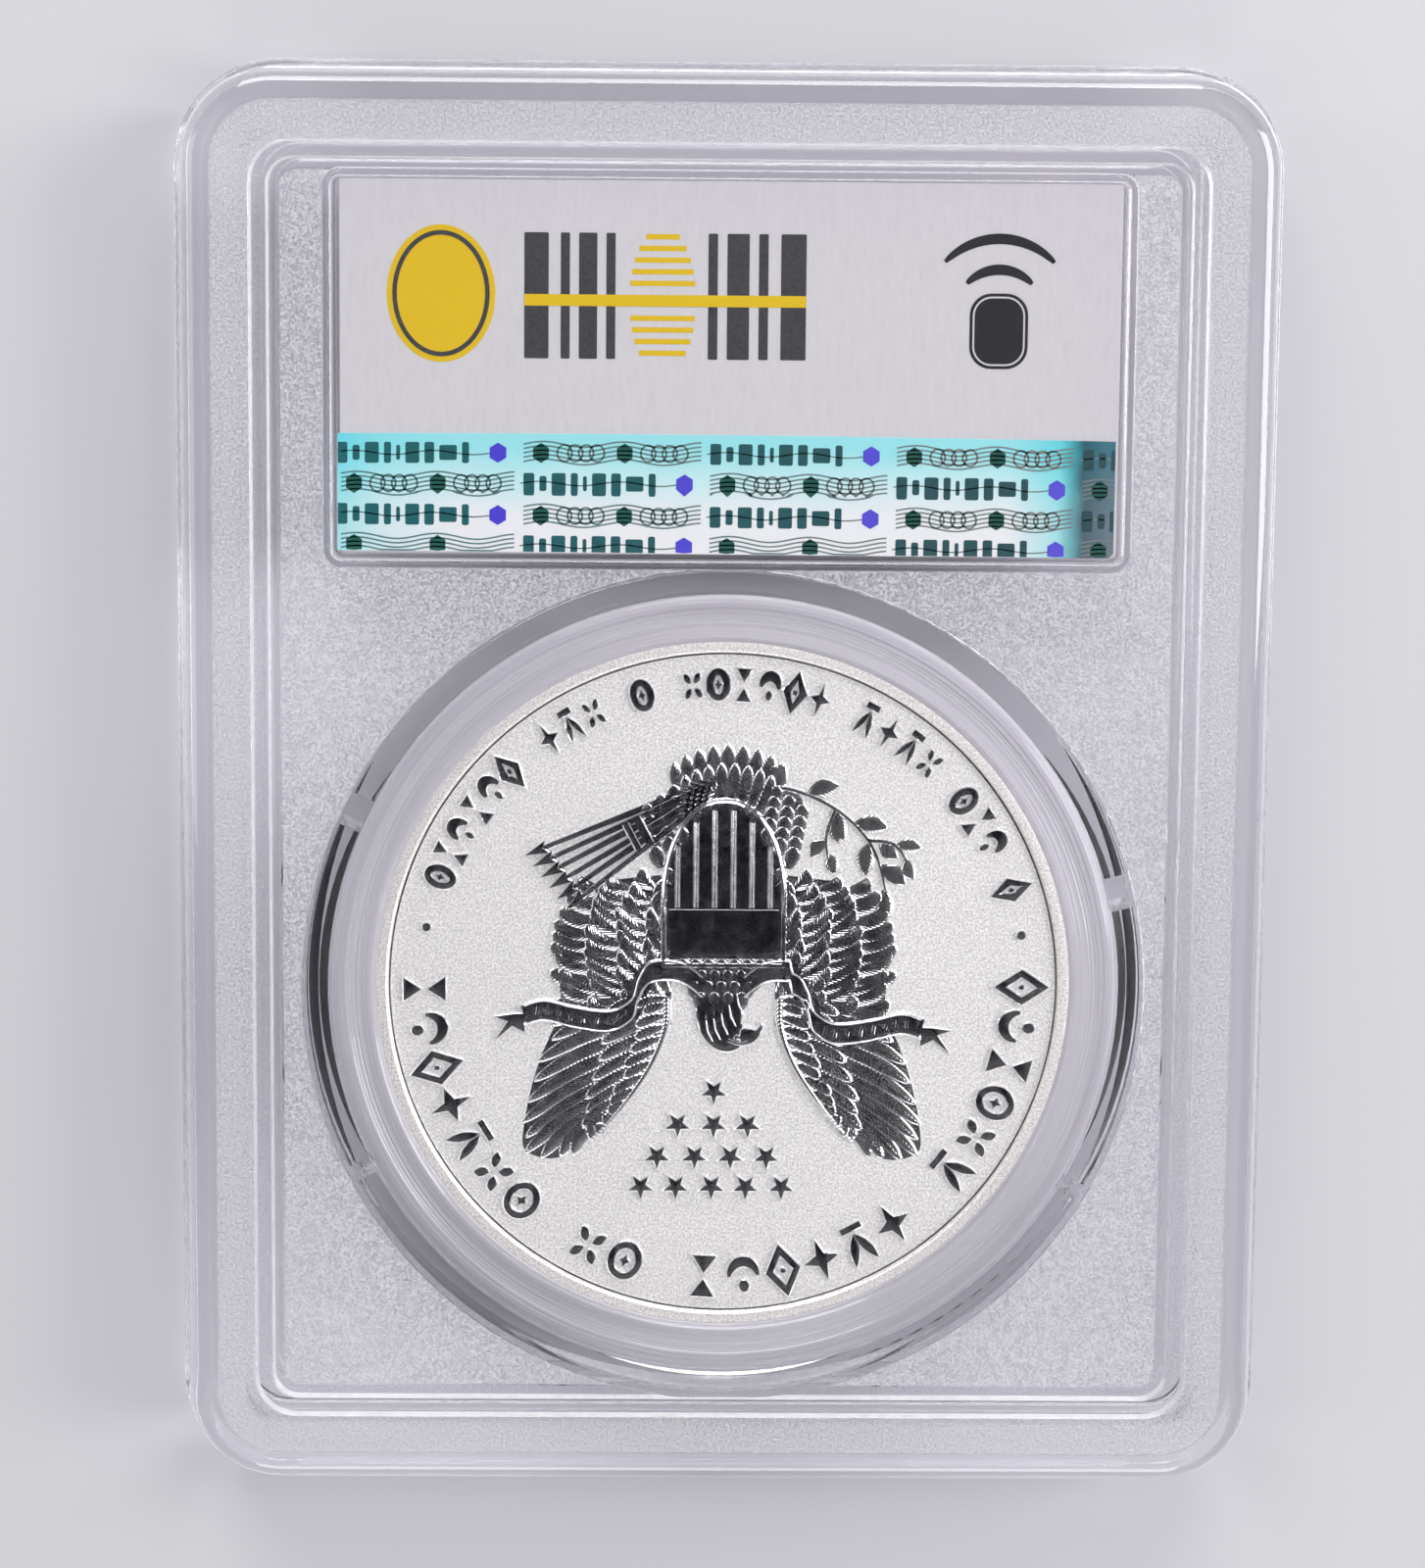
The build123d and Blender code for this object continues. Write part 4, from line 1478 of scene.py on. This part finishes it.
def strip_ink(name, left, right):
    """Ink that shifts in colour along the strip."""
    material, tree, output = new_material(name)
    colour = position_ramp(tree, "X", STRIP_LOW.x, STRIP_HIGH.x, [(0.0, left), (1.0, right)], 0.4, 6.0)
    coat(tree, output, {"Base Color": colour, "Roughness": 0.35, "Metallic": 0.1})
    return material


card_paper = printed_paper("card_paper")
yellow_ink = ink("yellow_ink", (0.86, 0.58, 0.012), spread=0.05)
grey_ink = ink("grey_ink", (0.035, 0.036, 0.042))
black_ink = ink("black_ink", (0.006, 0.006, 0.007), spread=0.03)
build_card("back_card", on_back_card, "back_label", card_paper)
build_card("front_card", on_front_card, "front_label", card_paper)
# The printed shapes: name, ink, drawing, and the card it is printed on.
PRINTED_PIECES = (
    ("label_gold_print", yellow_ink, draw_gold_print, on_back_card),
    ("label_gold_line", yellow_ink, draw_gold_line, on_back_card),
    ("label_grey_print", grey_ink, draw_grey_print, on_back_card),
    ("label_radio_mark", black_ink, draw_radio_mark, on_back_card),
    ("label_radio_line", card_paper, draw_radio_line, on_back_card),
    ("front_gold_print", yellow_ink, draw_front_gold, on_front_card),
    ("front_grey_print", grey_ink, draw_front_grey, on_front_card),
    ("front_code_print", black_ink, draw_front_codes, on_front_card),
)
for name, material, draw, place in PRINTED_PIECES:
    print_form = Form()
    draw(print_form)
    print_form.piece(name, material, HOLDER, "label_card", place)
build_strip(
    foil_material("foil"),
    strip_ink("bar_ink", (0.02, 0.16, 0.17), (0.04, 0.10, 0.11)),
    strip_ink("hexagon_ink", (0.08, 0.06, 0.72), (0.14, 0.12, 0.78)),
    strip_ink("green_ink", (0.02, 0.13, 0.10), (0.03, 0.11, 0.09)),
    strip_ink("wave_ink", (0.10, 0.26, 0.26), (0.25, 0.28, 0.26)),
)

# ---------------------------------------------------------------- stage: floor, light and camera

scene = bpy.context.scene
scene.view_settings.view_transform = "Standard"
scene.cycles.use_denoising = True
scene.cycles.caustics_reflective = False
scene.cycles.caustics_refractive = False
scene.cycles.max_bounces = 32
scene.cycles.transmission_bounces = 24
scene.cycles.glossy_bounces = 10
scene.cycles.transparent_max_bounces = 48

FLOOR_RADIUS = 0.6
FLOOR_GAP = 0.0002
# How pale the sky is at each height, from the horizon to overhead.
SKY = (
    (0.0, (0.64, 0.64, 0.67)),
    (0.07, (0.385, 0.385, 0.385 * 1.055)),
    (0.4, (0.355, 0.355, 0.355 * 1.055)),
    (0.66, (0.02, 0.02, 0.02 * 1.055)),
    (0.95, (0.008, 0.008, 0.011)),
)


def build_floor():
    """A plain pale round sheet with a faint paper mottle."""
    rim = [(x, y, 0) for x, y in circle((0, 0), FLOOR_RADIUS, 72)]
    mesh = bpy.data.meshes.new("floor")
    mesh.from_pydata(rim, [], [tuple(range(len(rim)))])
    floor = bpy.data.objects.new("floor", mesh)
    scene.collection.objects.link(floor)
    material, tree, output = new_material("floor_paper")
    _, colour = noise_ramp(tree, 0.02, (0.70, 0.70, 0.735), (0.725, 0.725, 0.76), spread=0.5, rough=0.5)
    coat(tree, output, {"Base Color": colour, "Roughness": 0.85})
    mesh.materials.append(material)
    floor.location.z = -FLOOR_GAP


def build_world():
    """Soft light from all round, palest at the horizon and dark overhead, where the camera stands."""
    world = bpy.data.worlds.new("studio")
    scene.world = world
    world.use_nodes = True
    tree = world.node_tree
    tree.nodes.clear()
    output = tree.nodes.new("ShaderNodeOutputWorld")
    direction = add_node(tree, "TexCoord")
    parts = add_node(tree, "SeparateXYZ", {0: direction.outputs["Generated"]})
    colour = colour_ramp(tree, parts.outputs["Z"], SKY)
    light = add_node(tree, "Background", {"Color": colour, "Strength": 1.0})
    tree.links.new(light.outputs[0], output.inputs["Surface"])


def add_softbox(name, place, size, power):
    """A square softbox aimed at the middle of the slab; place and size are in millimetres, power in watts."""
    lamp = bpy.data.lights.new(name, "AREA")
    lamp.shape = "RECTANGLE"
    lamp.size = size[0] * MM
    lamp.size_y = size[1] * MM
    lamp.energy = power
    box = bpy.data.objects.new(name, lamp)
    scene.collection.objects.link(box)
    where = Vector(place) * MM
    box.location = where
    box.rotation_euler = (-where).to_track_quat("-Z", "Y").to_euler()


# The camera's place in millimetres, how it leans in degrees, and its lens in millimetres.
CAMERA_PLACE = (-4.41, 31.25, 232.9)
CAMERA_LEAN = (("Z", -0.37), ("Y", 0.92), ("X", 7.77))
CAMERA_LENS = 100.1


def build_camera():
    """Almost straight above, a little towards the label end, looking back at the slab's middle."""
    lens = bpy.data.cameras.new("camera")
    lens.sensor_fit = "HORIZONTAL"
    lens.sensor_width = 36.0
    lens.lens = CAMERA_LENS
    lens.clip_start = 0.01
    lens.clip_end = 20.0
    camera = bpy.data.objects.new("camera", lens)
    scene.collection.objects.link(camera)
    lean = Matrix.Identity(3)
    for axis, angle in CAMERA_LEAN:
        lean = lean @ Matrix.Rotation(math.radians(angle), 3, axis)
    camera.matrix_world = Matrix.Translation(Vector(CAMERA_PLACE) * MM) @ lean.transposed().to_4x4()
    scene.camera = camera


build_floor()
build_world()
add_softbox("right_box", (620, 120, 380), (360, 420), 4.1)
add_softbox("left_box", (-640, 60, 380), (340, 420), 0.95)
add_softbox("top_box", (-60, 660, 400), (560, 300), 3.7)
add_softbox("bottom_box", (0, -700, 380), (480, 260), 1.65)
build_camera()
